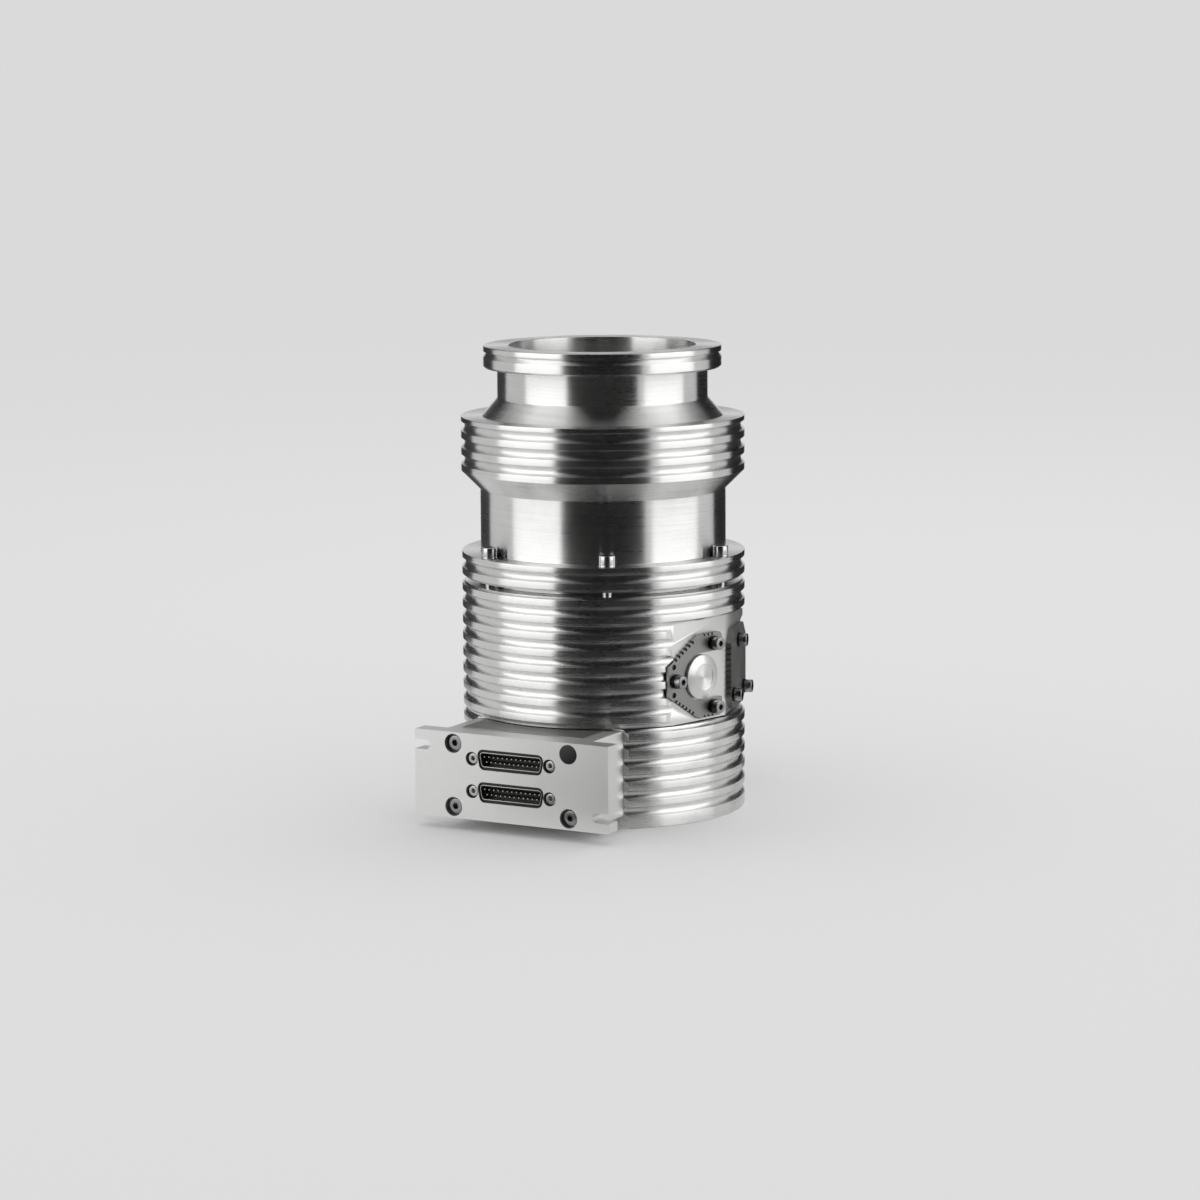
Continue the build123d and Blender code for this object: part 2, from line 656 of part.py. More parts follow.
with BuildPart() as plate_plug:
    with BuildSketch(front):
        with Locations((box_screw_span / 2, box_screw_rise / 2)):
            Circle(cap_bore_r - fit_gap)
    extrude(amount=-(screw_recess - m5_head_height))
parts["plate_plug"] = plate_plug.part

with BuildPart() as lock_studs:
    with BuildSketch(front.offset(-lock_drop)):
        with Locations(*lock_places):
            RegularPolygon(lock_r, 6)
            Circle(lock_bore_r, mode=Mode.SUBTRACT)
    extrude(amount=-plate_thick / 2)
parts["lock_studs"] = lock_studs.part

for name, height in plug_rows.items():
    with BuildPart() as shell:
        with BuildSketch(front.offset(-shell_drop)):
            add(plug_outline(height, plug_inset))
            add(plug_outline(height, plug_inset + plug_shell), mode=Mode.SUBTRACT)
        extrude(amount=-(plate_thick - shell_drop))
    parts[f"{name}_plug_shell"] = shell.part
    with BuildPart() as insulator:
        with BuildSketch(back):
            add(plug_outline(height, plug_inset))
        extrude(amount=-plug_flange)
        with BuildSketch(back):
            add(plug_outline(height, plug_inset + plug_shell + fit_gap))
        extrude(amount=plug_seat)
    parts[f"{name}_plug_body"] = insulator.part
    with BuildPart() as pins:
        with BuildSketch(back.offset(plug_seat)):
            for row, (count, step) in enumerate(((13, 1), (12, -1))):
                with Locations((0, height + step * plug_pitch / 2)):
                    with GridLocations(plug_pitch, 1, count, 1):
                        RegularPolygon(pin_r, 6)
        extrude(amount=pin_length)
    parts[f"{name}_plug_pins"] = pins.part

with BuildPart() as terminal_board:
    with BuildSketch(back.offset(-plug_flange)):
        Rectangle(box_screw_span - 2 * (boss + board_margin), plate_height - 2 * box_wall - board_margin)
    extrude(amount=-board_thick)
parts["terminal_board"] = terminal_board.part

# ---- side covers on the two milled facets ------------------------------------------------------------


def notches(start, end, count, shift=0.0):
    """Locations of evenly pitched edge notches, centred on the line from start to end."""
    run = Vector(*end) - Vector(*start)
    middle = Vector(*start) + run * (0.5 + shift)
    step = run.normalized() * tooth_pitch
    angle = Vector(1, 0).get_signed_angle(run, Vector(0, 0, 1))
    return [Location(middle + step * (n - (count - 1) / 2), angle) for n in range(count)]


def side_cover_outline():
    """Sketch of the serrated side cover, open to the right around the vent."""
    left, tip, half, tail = -side_plate_reach, side_plate_point, side_plate_half, side_plate_tail
    knee = -side_plate_knee
    with BuildSketch(mode=Mode.PRIVATE) as outline:
        with BuildLine():
            Polyline((left, -tip), (knee, -half), (tail, -half), (tail, half), (knee, half), (left, tip),
                     close=True)
        make_face()
        fillet(outline.vertices().filter_by(lambda corner: corner.X > 0), side_plate_corner)
        places = (notches((left, tip), (knee, half), 6) + notches((left, -tip), (knee, -half), 6)
                  + notches((knee, half), (tail, half), 3, -notch_shift)
                  + notches((knee, -half), (tail, -half), 3, -notch_shift))
        with Locations(*places):
            Rectangle(tooth_width, 2 * tooth_depth, mode=Mode.SUBTRACT)
    return outline.sketch


vent_opening_r = vent_cap_r + vent_cap_margin
with BuildPart() as vent_cover:
    with BuildSketch(vent_plane):
        add(side_cover_outline())
        Circle(vent_opening_r, mode=Mode.SUBTRACT)
        with Locations((side_plate_tail / 2, 0)):
            Rectangle(side_plate_tail, 2 * vent_opening_r, mode=Mode.SUBTRACT)
        with PolarLocations(side_screw_pcd / 2, 3, start_angle=60):
            Circle(m4_r + screw_gap, mode=Mode.SUBTRACT)
        with Locations(*[(side_hole_inset - side_plate_reach, side * side_hole_rise) for side in (1, -1)]):
            Circle(side_hole_r, mode=Mode.SUBTRACT)
    extrude(amount=side_plate_thick)
parts["vent_cover"] = vent_cover.part

with BuildPart() as vent_cap:
    with BuildSketch(vent_plane):
        Circle(vent_cap_r)
    extrude(amount=side_plate_thick + vent_cap_rise)
    with BuildSketch(vent_plane):
        Circle(vent_bore_r - fit_gap)
    extrude(amount=-vent_spigot)
parts["vent_cap"] = vent_cap.part

with BuildPart() as vent_cover_screws:
    with Locations(vent_plane.offset(side_plate_thick + screw_washer)):
        with PolarLocations(side_screw_pcd / 2, 3, start_angle=60):
            add(cap_screw(m4_r, side_plate_thick + screw_washer, m4_head_r, m4_head_height))
parts["vent_cover_screws"] = vent_cover_screws.part

service_plane = side_plane(facet_angles[1], facet_distance, service_shift, vent_z)
service_corners = [(-service_width / 2, -service_height / 2), (-service_width / 2, service_height / 2)]
service_places = [(0, service_screw_rise), (service_screw_shift, -service_screw_rise),
                  (-service_screw_shift, -service_screw_rise)]
with BuildPart() as service_cover:
    with BuildSketch(service_plane) as service_outline:
        Rectangle(service_width, service_height)
        chamfer(service_outline.vertices(), service_corner)
        with Locations(*notches(service_corners[0], service_corners[1], 7)):
            Rectangle(tooth_width, 2 * tooth_depth, mode=Mode.SUBTRACT)
        with Locations(*service_places):
            Circle(m4_r + screw_gap, mode=Mode.SUBTRACT)
    extrude(amount=service_thick)
parts["service_cover"] = service_cover.part

with BuildPart() as service_cover_screws:
    with Locations(service_plane.offset(service_thick + washer_thick)):
        with Locations(*service_places):
            add(cap_screw(m4_r, service_thick + washer_thick, m4_head_r, m4_head_height))
parts["service_cover_screws"] = service_cover_screws.part

os.makedirs("parts", exist_ok=True)
for name, part in parts.items():
    part.label = name
    export_step(part, f"parts/{name}.step")
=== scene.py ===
"""Studio scene of a magnetically levitated turbomolecular pump.

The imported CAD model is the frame: every piece made here takes its place from it, in metres, +Z up along the
rotor axis, connector plate towards -Y. Sizes are radii, heights and lengths in millimetres, unless they say
metres. A corner is a point of an outline with the radius that rounds it.
"""

from __future__ import annotations

import json
import logging
import math
from collections.abc import Iterable, Iterator, Sequence
from contextlib import contextmanager
from dataclasses import dataclass
from enum import Enum

import bpy
from mathutils import Matrix, Vector

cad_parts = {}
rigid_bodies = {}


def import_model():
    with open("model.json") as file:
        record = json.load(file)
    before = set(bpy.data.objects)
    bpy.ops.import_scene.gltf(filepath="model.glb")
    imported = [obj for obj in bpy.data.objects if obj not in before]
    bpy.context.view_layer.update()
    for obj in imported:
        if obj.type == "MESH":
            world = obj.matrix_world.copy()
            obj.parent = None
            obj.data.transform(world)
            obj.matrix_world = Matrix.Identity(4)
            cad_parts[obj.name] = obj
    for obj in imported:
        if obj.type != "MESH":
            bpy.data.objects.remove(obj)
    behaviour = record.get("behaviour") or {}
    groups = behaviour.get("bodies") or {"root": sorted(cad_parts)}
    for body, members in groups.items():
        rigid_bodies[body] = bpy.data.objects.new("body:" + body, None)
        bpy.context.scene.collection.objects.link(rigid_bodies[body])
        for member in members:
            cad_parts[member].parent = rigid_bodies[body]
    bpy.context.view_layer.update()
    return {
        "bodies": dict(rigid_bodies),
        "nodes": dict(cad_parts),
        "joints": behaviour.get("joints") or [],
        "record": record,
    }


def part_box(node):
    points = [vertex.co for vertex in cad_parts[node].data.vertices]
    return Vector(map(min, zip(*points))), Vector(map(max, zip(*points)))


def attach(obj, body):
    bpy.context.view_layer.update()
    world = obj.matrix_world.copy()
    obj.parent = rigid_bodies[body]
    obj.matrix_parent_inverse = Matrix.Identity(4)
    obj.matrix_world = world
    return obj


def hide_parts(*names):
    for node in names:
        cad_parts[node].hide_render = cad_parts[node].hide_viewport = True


MM = 0.001
LOG = logging.getLogger("pump")
BODY, ROTOR = "pump_body", "rotor"
Point = tuple[float, float]
Corner = tuple[float, float, float]
Piece = bpy.types.Object
Tree = bpy.types.NodeTree
Socket = bpy.types.NodeSocket

# ---- finishes ----
WANDER_MM = 24.0  # breadth of the slow changes in gloss and colour
NOISE_SPAN = (0.32, 0.68)  # nearly all of a noise lies between these
MARK_HEIGHT_MM = 0.05  # height of a mark at full strength
RING_DRIFT_MM = 60.0  # a turned line changes over about this much of its way round
FACED_SHARE = 0.6  # lines across a faced end are this much closer than those up a wall
CUTTER_SIDE_MM, CUTTER_DROP_MM = 40.0, 30.0  # middles of a milling cutter's two sweeps
GRAIN_RUN = 0.08  # rolled and ground grain changes this much slower up a piece


def linear(code: str) -> tuple[float, float, float, float]:
    """Turns an sRGB hex colour into linear red, green, blue and an alpha of 1."""
    parts = [int(code.lstrip("#")[i:i + 2], 16) / 255 for i in (0, 2, 4)]
    return (*[c / 12.92 if c <= 0.04045 else ((c + 0.055) / 1.055) ** 2.4 for c in parts], 1.0)


def add_node(tree: Tree, kind: str, inputs: Sequence | dict = (), out: int | str = 0,
             **settings: object) -> Socket:
    """Adds a shader node with its settings, values and links.

    Args:
        tree: node tree to add to.
        kind: node type after its ShaderNode prefix, such as TexNoise.
        inputs: values, or output sockets to link from, in order or by socket name.
        out: which output is wanted, by order or name.
        **settings: attributes of the node.

    Returns:
        That output of the new node.
    """
    node = tree.nodes.new(f"ShaderNode{kind}")
    for name, value in settings.items():
        setattr(node, name, value)
    for name, value in inputs.items() if isinstance(inputs, dict) else enumerate(inputs):
        if isinstance(value, Socket):
            tree.links.new(value, node.inputs[name])
        else:
            node.inputs[name].default_value = value
    return node.outputs[out]


def new_material(name: str) -> tuple[bpy.types.Material, Tree, bpy.types.Node]:
    """Adds a material and returns it with its node tree and its shader."""
    material = bpy.data.materials.new(name)
    material.use_nodes = True
    return material, material.node_tree, material.node_tree.nodes["Principled BSDF"]


class Grain(Enum):
    """How a surface was made, which sets its bump and its gloss pattern."""

    TURNED = "turned"
    MILLED = "milled"
    BLASTED = "blasted"
    ROLLED = "rolled"
    MOULDED = "moulded"
    GROUND = "ground"


@dataclass(frozen=True)
class Finish:
    """One surface finish: a real material and the process that left its surface.

    Args:
        name: the material's common name and how its surface was made.
        colour: sRGB hex colour.
        grain: surface process.
        metallic: 1 for a metal.
        roughness: mean roughness.
        stretch: anisotropy, along the lines that the process leaves.
        mark_mm: distance between marks of the process.
        mark_depth: bump strength of those marks.
        gloss_change: how far roughness wanders either way.
        tint: how far the colour wanders, as a share.
        centre: point on the turning axis, in metres.
        axis: turning axis, or the cutter's axis on a milled face.
    """

    name: str
    colour: str
    grain: Grain
    metallic: float = 1.0
    roughness: float = 0.3
    stretch: float = 0.0
    mark_mm: float = 0.6
    mark_depth: float = 0.1
    gloss_change: float = 0.05
    tint: float = 0.05
    centre: tuple[float, float, float] = (0.0, 0.0, 0.0)
    axis: tuple[float, float, float] = (0.0, 0.0, 1.0)

    def make(self) -> bpy.types.Material:
        """Builds the material once and returns it."""
        known = bpy.data.materials.get(self.name)
        if known:
            return known
        material, tree, shader = new_material(self.name)
        shader.inputs["Metallic"].default_value = self.metallic
        shader.inputs["Anisotropic"].default_value = self.stretch
        spot = add_node(tree, "TexCoord", out="Object")
        offset = add_node(tree, "VectorMath", (spot, self.centre), operation="SUBTRACT")
        marks = self.marks(tree, offset)
        wander = add_node(tree, "TexNoise", {"Vector": offset, "Scale": 1 / (WANDER_MM * MM), "Detail": 3.0,
                                             "Roughness": 0.6})
        halves = [add_node(tree, "Math", (value, 0.5), operation="MULTIPLY") for value in (marks, wander)]
        mixed = add_node(tree, "Math", halves, operation="ADD")
        share = add_node(tree, "MapRange", {"Value": mixed, "From Min": NOISE_SPAN[0],
                                            "From Max": NOISE_SPAN[1]})
        span = (share, 2 * self.gloss_change, self.roughness - self.gloss_change)
        gloss = add_node(tree, "Math", span, operation="MULTIPLY_ADD")
        dark, light = ([min(1.0, c * (1 + change)) for c in linear(self.colour)[:3]] + [1.0]
                       for change in (-self.tint, self.tint))
        colour = add_node(tree, "Mix", {"Factor": share, "A": dark, "B": light}, "Result", data_type="RGBA")
        bump = add_node(tree, "Bump", {"Height": marks, "Strength": self.mark_depth,
                                       "Distance": MARK_HEIGHT_MM * MM})
        found = {"Roughness": gloss, "Base Color": colour, "Normal": bump}
        if self.stretch > 0:
            along = add_node(tree, "VectorMath", (self.axis, offset), operation="CROSS_PRODUCT")
            unit = add_node(tree, "VectorMath", (along,), operation="NORMALIZE")
            found["Tangent"] = add_node(tree, "VectorTransform", {"Vector": unit}, vector_type="VECTOR",
                                        convert_from="OBJECT", convert_to="WORLD")
            shader.inputs["Anisotropic Rotation"].default_value = 0.25  # across the lines
        for name, socket in found.items():
            tree.links.new(socket, shader.inputs[name])
        return material

    def marks(self, tree: Tree, offset: Socket) -> Socket:
        """Adds the marks that the process leaves.

        Args:
            tree: node tree to add to.
            offset: place from the finish's centre, in metres.

        Returns:
            A height between 0 and 1.
        """
        per_metre = 1 / (self.mark_mm * MM)
        if self.grain is Grain.TURNED:
            rise = add_node(tree, "VectorMath", (offset, self.axis), "Value", operation="DOT_PRODUCT")
            lift = add_node(tree, "VectorMath", {0: self.axis, "Scale": rise}, operation="SCALE")
            radial = add_node(tree, "VectorMath", (offset, lift), operation="SUBTRACT")
            reach = add_node(tree, "VectorMath", (radial,), "Value", operation="LENGTH")
            across = add_node(tree, "Math", (reach, FACED_SHARE), operation="MULTIPLY")
            along = add_node(tree, "Math", (rise, across), operation="ADD")
            drift = add_node(tree, "VectorMath", {0: radial, "Scale": 1 / (RING_DRIFT_MM * MM)},
                             operation="SCALE")
            count = add_node(tree, "Math", (along, per_metre), operation="MULTIPLY")
            lines = add_node(tree, "CombineXYZ", (count,))
            spot = add_node(tree, "VectorMath", (lines, drift), operation="ADD")
            return add_node(tree, "TexNoise", {"Vector": spot, "Scale": 1.0, "Detail": 2.0, "Roughness": 0.7})
        if self.grain is Grain.MILLED:
            sweeps = []
            for side in (-CUTTER_SIDE_MM, CUTTER_SIDE_MM):
                hub = Vector(self.axis).cross(Vector((0, 0, side * MM))) - Vector((0, 0, CUTTER_DROP_MM * MM))
                away = add_node(tree, "VectorMath", (offset, tuple(hub)), operation="SUBTRACT")
                reach = add_node(tree, "VectorMath", (away,), "Value", operation="LENGTH")
                phase = add_node(tree, "Math", (reach, math.tau * per_metre), operation="MULTIPLY")
                sweeps.append(add_node(tree, "Math", (phase,), operation="SINE"))
            both = add_node(tree, "Math", sweeps, operation="ADD")
            return add_node(tree, "Math", (both, 0.25, 0.5), operation="MULTIPLY_ADD")  # from -2..2 to 0..1
        if self.grain in (Grain.ROLLED, Grain.GROUND):
            run = add_node(tree, "VectorMath", (offset, (1.0, 1.0, GRAIN_RUN)), operation="MULTIPLY")
            return add_node(tree, "TexNoise", {"Vector": run, "Scale": per_metre, "Detail": 3.0})
        detail = 4.0 if self.grain is Grain.BLASTED else 2.0
        return add_node(tree, "TexNoise", {"Vector": offset, "Scale": per_metre, "Detail": detail,
                                           "Roughness": 0.7})


# Turned stainless steel: circular tool lines, drawn coarser than real to show, stretch every reflection into
# upright bands.
TURNED_STEEL = Finish("turned_stainless_steel", "#D9D9D8", Grain.TURNED, roughness=0.29, stretch=1.0,
                      mark_mm=1.5, mark_depth=0.07, gloss_change=0.05, tint=0.14)
# Turned aluminium of the ribs: paler and crisper than the steel, a bright line on each rib.
TURNED_ALUMINIUM = Finish("lathe_turned_aluminium", "#DDDDDC", Grain.TURNED, roughness=0.27, stretch=1.0,
                          mark_mm=1.3, mark_depth=0.06, gloss_change=0.05, tint=0.1)
# Rotor machined from one aluminium forging: an even satin, with a little of the lathe's stretch.
ROTOR_ALUMINIUM = Finish("machined_rotor_aluminium", "#D2D2D1", Grain.TURNED, roughness=0.36, stretch=0.4,
                         mark_mm=1.0, mark_depth=0.05, tint=0.08)
# Bead-blasted aluminium of the connector plate and box: pale and even, with no reflections in it.
BLASTED_ALUMINIUM = Finish("blasted_aluminium", "#DCDCDB", Grain.BLASTED, roughness=0.5, mark_mm=0.7,
                           mark_depth=0.25, gloss_change=0.06)
# Rolled steel sheet of the side covers: a dull mid grey with a faint upright grain.
ROLLED_STEEL = Finish("rolled_steel_sheet", "#8E8E8C", Grain.ROLLED, roughness=0.42, mark_mm=0.5,
                      mark_depth=0.15)
# Stainless screws: small bright edges and a dark middle.
SCREW_STEEL = Finish("stainless_screw_steel", "#C9C9C9", Grain.GROUND, roughness=0.22, mark_mm=0.5,
                     mark_depth=0.05)
# Cap screws in counterbores and on the side covers: the same steel painted darker, as painted shade for the
# shade of a counterbore.
SHADE_DARKENED_SCREW = Finish("shade_darkened_screw_steel", "#9A9A9A", Grain.GROUND, roughness=0.24, mark_mm=0.5,
                    mark_depth=0.05)
# Spring washers in black oxide: a black ring with a soft shine.
BLACK_OXIDE = Finish("black_oxide_washer_steel", "#2A2A2A", Grain.GROUND, roughness=0.3, mark_mm=0.5)
# Nickel plate on connector shells and screw locks: a thin warm bright line.
NICKEL_PLATE = Finish("nickel_plate", "#BDBCB8", Grain.GROUND, roughness=0.25, mark_mm=0.5, mark_depth=0.05)
# Moulded nylon of the insulators and the blind plug: black with a soft sheen.
BLACK_NYLON = Finish("black_moulded_nylon", "#101010", Grain.MOULDED, metallic=0.0, roughness=0.38,
                     mark_mm=0.5, mark_depth=0.1)
# Anodised sheet of the bare name plate: matt, a shade darker than the box under it.
LABEL_SHEET = Finish("anodised_label_sheet", "#8E8E8D", Grain.BLASTED, metallic=0.9, roughness=0.5,
                     mark_mm=0.6, mark_depth=0.05)
# Nitrile rubber of the seals: black and dull.
NITRILE = Finish("nitrile_rubber", "#131313", Grain.MOULDED, metallic=0.0, roughness=0.6, mark_mm=0.8)
# Fibreglass circuit board: green lacquer with a low gloss.
FIBREGLASS = Finish("green_circuit_laminate", "#1F4A2C", Grain.MOULDED, metallic=0.0, roughness=0.4,
                    mark_mm=0.6)
# Ground bearing steel of the shaft and races: nearly a mirror, drawn out round the axis.
BEARING_STEEL = Finish("ground_bearing_steel", "#B4B4B6", Grain.TURNED, roughness=0.2, stretch=0.6,
                       mark_mm=0.5, mark_depth=0.05)
# Ground magnet sleeves of the rotor: darker and softer than the shaft.
MAGNET_STEEL = Finish("ground_magnet_steel", "#77777A", Grain.TURNED, roughness=0.3, stretch=0.5, mark_mm=0.5)
# Potted windings and laminations: brown resin, matt.
POTTED_STACK = Finish("potted_lamination_stack", "#4A4038", Grain.MOULDED, metallic=0.0, roughness=0.55,
                      mark_mm=0.6)

SLOT_FINISHES = {
    "turned_aluminium": TURNED_ALUMINIUM, "housing_steel": TURNED_STEEL, "ribbed_aluminium": TURNED_ALUMINIUM,
    "satin_aluminium": BLASTED_ALUMINIUM, "cover_steel": ROLLED_STEEL, "turned_steel": TURNED_STEEL,
    "screw_steel": SCREW_STEEL, "seal_rubber": NITRILE, "black_plastic": BLACK_NYLON,
    "plated_steel": NICKEL_PLATE, "circuit_board": FIBREGLASS, "bearing_steel": BEARING_STEEL,
    "magnet_steel": MAGNET_STEEL, "winding_stack": POTTED_STACK,
}

# ---- mesh tools ----
WELD_MM = 0.002  # points nearer than this are one
STRAIGHT = 0.02  # a corner that turns less than this, in radians, isn't rounded
ORIGIN = Matrix()


def deselect() -> None:
    """Leaves nothing selected, in object mode."""
    if bpy.context.object and bpy.context.object.mode != "OBJECT":
        bpy.ops.object.mode_set(mode="OBJECT")
    bpy.ops.object.select_all(action="DESELECT")


def pick(piece: Piece) -> None:
    """Makes one piece the only selected and active object."""
    deselect()
    piece.select_set(True)
    bpy.context.view_layer.objects.active = piece


@contextmanager
def editing(piece: Piece, select: str = "SELECT") -> Iterator[None]:
    """Opens a piece in edit mode with all of it selected, or nothing, or as it was where select is empty."""
    pick(piece)
    bpy.ops.object.mode_set(mode="EDIT")
    if select:
        bpy.ops.mesh.select_all(action=select)
    yield
    bpy.ops.object.mode_set(mode="OBJECT")


def face_outwards() -> None:
    """Turns every face of the piece in edit mode outwards."""
    bpy.ops.mesh.select_all(action="SELECT")
    bpy.ops.mesh.normals_make_consistent(inside=False)


def place(piece: Piece, frame: Matrix) -> Piece:
    """Puts a piece's mesh into a frame, and leaves its object at the origin."""
    piece.data.transform(frame)
    piece.data.update()
    return piece


def apply_modifier(piece: Piece, kind: str, **settings: object) -> None:
    """Adds a modifier with its settings and applies it."""
    pick(piece)
    modifier = piece.modifiers.new(kind.lower(), kind)
    for name, value in settings.items():
        setattr(modifier, name, value)
    bpy.ops.object.modifier_apply(modifier=modifier.name)


def smooth(piece: Piece, angle: float = 32.0) -> Piece:
    """Shades a piece smooth except at edges sharper than an angle."""
    pick(piece)
    bpy.ops.object.shade_smooth_by_angle(angle=math.radians(angle))
    return piece


def soften(piece: Piece, width: float, segments: int = 2, angle: float = 40.0) -> Piece:
    """Bevels a piece's edges sharper than an angle, and shades it smooth with its flats kept flat."""
    apply_modifier(piece, "BEVEL", width=width * MM, segments=segments, limit_method="ANGLE",
                   angle_limit=math.radians(angle), use_clamp_overlap=True)
    apply_modifier(smooth(piece), "WEIGHTED_NORMAL", weight=90, keep_sharp=True)
    return piece


def cut(piece: Piece, tools: Iterable[Piece]) -> Piece:
    """Takes each tool away from a piece and deletes the tools."""
    for tool in tools:
        apply_modifier(piece, "BOOLEAN", operation="DIFFERENCE", solver="EXACT", object=tool)
        bpy.data.objects.remove(tool)
    return piece


def joined(name: str, pieces: Sequence[Piece]) -> Piece:
    """Joins several pieces into one named piece."""
    deselect()
    for piece in pieces:
        piece.select_set(True)
    bpy.context.view_layer.objects.active = pieces[0]
    if len(pieces) > 1:
        bpy.ops.object.join()
    pieces[0].name = name
    return pieces[0]


def copied(model: Piece, frames: Sequence[Matrix], name: str) -> Piece:
    """Copies a model into each frame, with meshes of their own, joins the copies and deletes the model."""
    copies = []
    for frame in frames:
        twin = model.copy()
        twin.data = model.data.copy()
        bpy.context.collection.objects.link(twin)
        copies.append(place(twin, frame))
    bpy.data.objects.remove(model)
    return joined(name, copies)


def rounded(corners: Sequence[Corner], steps: int = 4) -> list[Point]:
    """Rounds the corners of a closed outline, each in a number of steps."""
    points: list[Point] = []
    for before, here, after in zip([corners[-1], *corners[:-1]], corners, [*corners[1:], corners[0]]):
        spot, radius = Vector(here[:2]), here[2]
        back, ahead = Vector(before[:2]) - spot, Vector(after[:2]) - spot
        turn = math.pi - back.angle(ahead)
        if radius <= 0 or turn < STRAIGHT:
            points.append((spot.x, spot.y))
            continue
        reach = radius * math.tan(turn / 2)
        start, end = spot + back.normalized() * reach, spot + ahead.normalized() * reach
        middle = (back.normalized() + ahead.normalized()).normalized()
        centre = spot + middle * (radius / math.cos(turn / 2))
        first, last = start - centre, end - centre
        swing = math.atan2(first.x * last.y - first.y * last.x, first.dot(last))
        for step in range(steps + 1):
            arm = Matrix.Rotation(swing * step / steps, 2) @ first
            points.append((centre.x + arm.x, centre.y + arm.y))
    return points


def outline_piece(name: str, outline: Sequence[Point], filled: bool) -> Piece:
    """Adds a circle primitive with one vertex for each outline point and moves its vertices there."""
    deselect()
    bpy.ops.mesh.primitive_circle_add(vertices=len(outline), radius=MM,
                                      fill_type="NGON" if filled else "NOTHING")
    piece = bpy.context.object
    piece.name = name
    for vertex, (x, y) in zip(piece.data.vertices, outline):
        vertex.co = (x * MM, y * MM, 0.0)
    return piece


def lathe(name: str, corners: Sequence[Corner], facets: int = 180, frame: Matrix = ORIGIN,
          steps: int = 4) -> Piece:
    """Turns a closed outline about the axis.

    Args:
        name: name of the piece.
        corners: radius, height and corner radius of each point, anticlockwise or clockwise.
        facets: number of facets around the axis.
        frame: where the axis stands, with its own Z along the axis.
        steps: facets of each round corner.

    Returns:
        A closed piece with its faces outwards.
    """
    piece = outline_piece(name, rounded(corners, steps), filled=False)
    place(piece, Matrix.Rotation(math.pi / 2, 4, "X"))
    with editing(piece):
        bpy.ops.mesh.spin(steps=facets, angle=math.tau, center=(0, 0, 0), axis=(0, 0, 1))
        bpy.ops.mesh.select_all(action="SELECT")
        bpy.ops.mesh.remove_doubles(threshold=WELD_MM * MM)
        bpy.ops.mesh.delete_loose()
        face_outwards()
    return smooth(place(piece, frame))


def prism(name: str, outline: Sequence[Point], height: float, frame: Matrix = ORIGIN) -> Piece:
    """Extrudes a closed outline up its own Z and puts it in a frame."""
    piece = outline_piece(name, outline, filled=True)
    with editing(piece):
        bpy.ops.mesh.extrude_region_move(TRANSFORM_OT_translate={"value": (0, 0, height * MM)})
        face_outwards()
    return place(piece, frame)


def round_outline(radius: float, count: int = 48) -> list[Point]:
    """Points of a circle."""
    turns = [math.tau * n / count for n in range(count)]
    return [(radius * math.cos(turn), radius * math.sin(turn)) for turn in turns]


def box_outline(width: float, height: float, middle: float = 0.0, radius: float = 0.0) -> list[Point]:
    """Points of a rectangle whose middle stands at a height, with round corners."""
    half, low, high = width / 2, middle - height / 2, middle + height / 2
    return rounded([(-half, low, radius), (half, low, radius), (half, high, radius), (-half, high, radius)])


def coated(piece: Piece, finish: Finish) -> Piece:
    """Gives a piece its finish before it is joined to one of another finish."""
    piece.data.materials.clear()
    piece.data.materials.append(finish.make())
    return piece


def dress(piece: Piece, finish: Finish, node: str, body: str = BODY) -> None:
    """Finishes a piece: material, body and the CAD node that it stands for, which it hides."""
    if not piece.data.materials:
        piece.data.materials.append(finish.make())
    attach(piece, body)
    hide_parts(node)
    LOG.info("%s: %d faces, stands for %s", piece.name, len(piece.data.polygons), node)


def fasten(model: Piece, places: Sequence[Matrix], name: str, node: str) -> None:
    """Copies a screw or washer into its places, as one dressed piece."""
    dress(copied(model, places, name), SCREW_STEEL, node)


def moved(x: float = 0.0, y: float = 0.0, z: float = 0.0) -> Matrix:
    """A move in millimetres."""
    return Matrix.Translation(Vector((x, y, z)) * MM)


def turned(angle: float) -> Matrix:
    """A turn about the rotor axis, in radians."""
    return Matrix.Rotation(angle, 4, "Z")


def side_frame(angle: float, distance: float, shift: float = 0.0, height: float = 0.0) -> Matrix:
    """Frame on a flat that faces away from the axis.

    Args:
        angle: direction of the flat's normal, in degrees from -Y towards +X.
        distance: from the axis.
        shift: sideways along the flat.
        height: above the underside.

    Returns:
        A matrix whose X runs along the flat, Y up and Z away from the axis.
    """
    turn = math.radians(angle)
    normal, along = Vector((math.sin(turn), -math.cos(turn), 0)), Vector((math.cos(turn), math.sin(turn), 0))
    spot = (normal * distance + along * shift + Vector((0, 0, height))) * MM
    rows = [(along[i], (0.0, 0.0, 1.0)[i], normal[i], spot[i]) for i in range(3)]
    return Matrix([*rows, (0, 0, 0, 1)])


def upright(radius: float, angle: float, height: float) -> Matrix:
    """Frame that stands up at a radius from the axis, turned in degrees from -Y towards +X."""
    turn = math.radians(angle)
    return moved(radius * math.sin(turn), -radius * math.cos(turn), height) @ turned(turn)


def height_of(node: str, top: bool) -> float:
    """Lowest or highest point of a CAD node."""
    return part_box(node)[1 if top else 0].z / MM


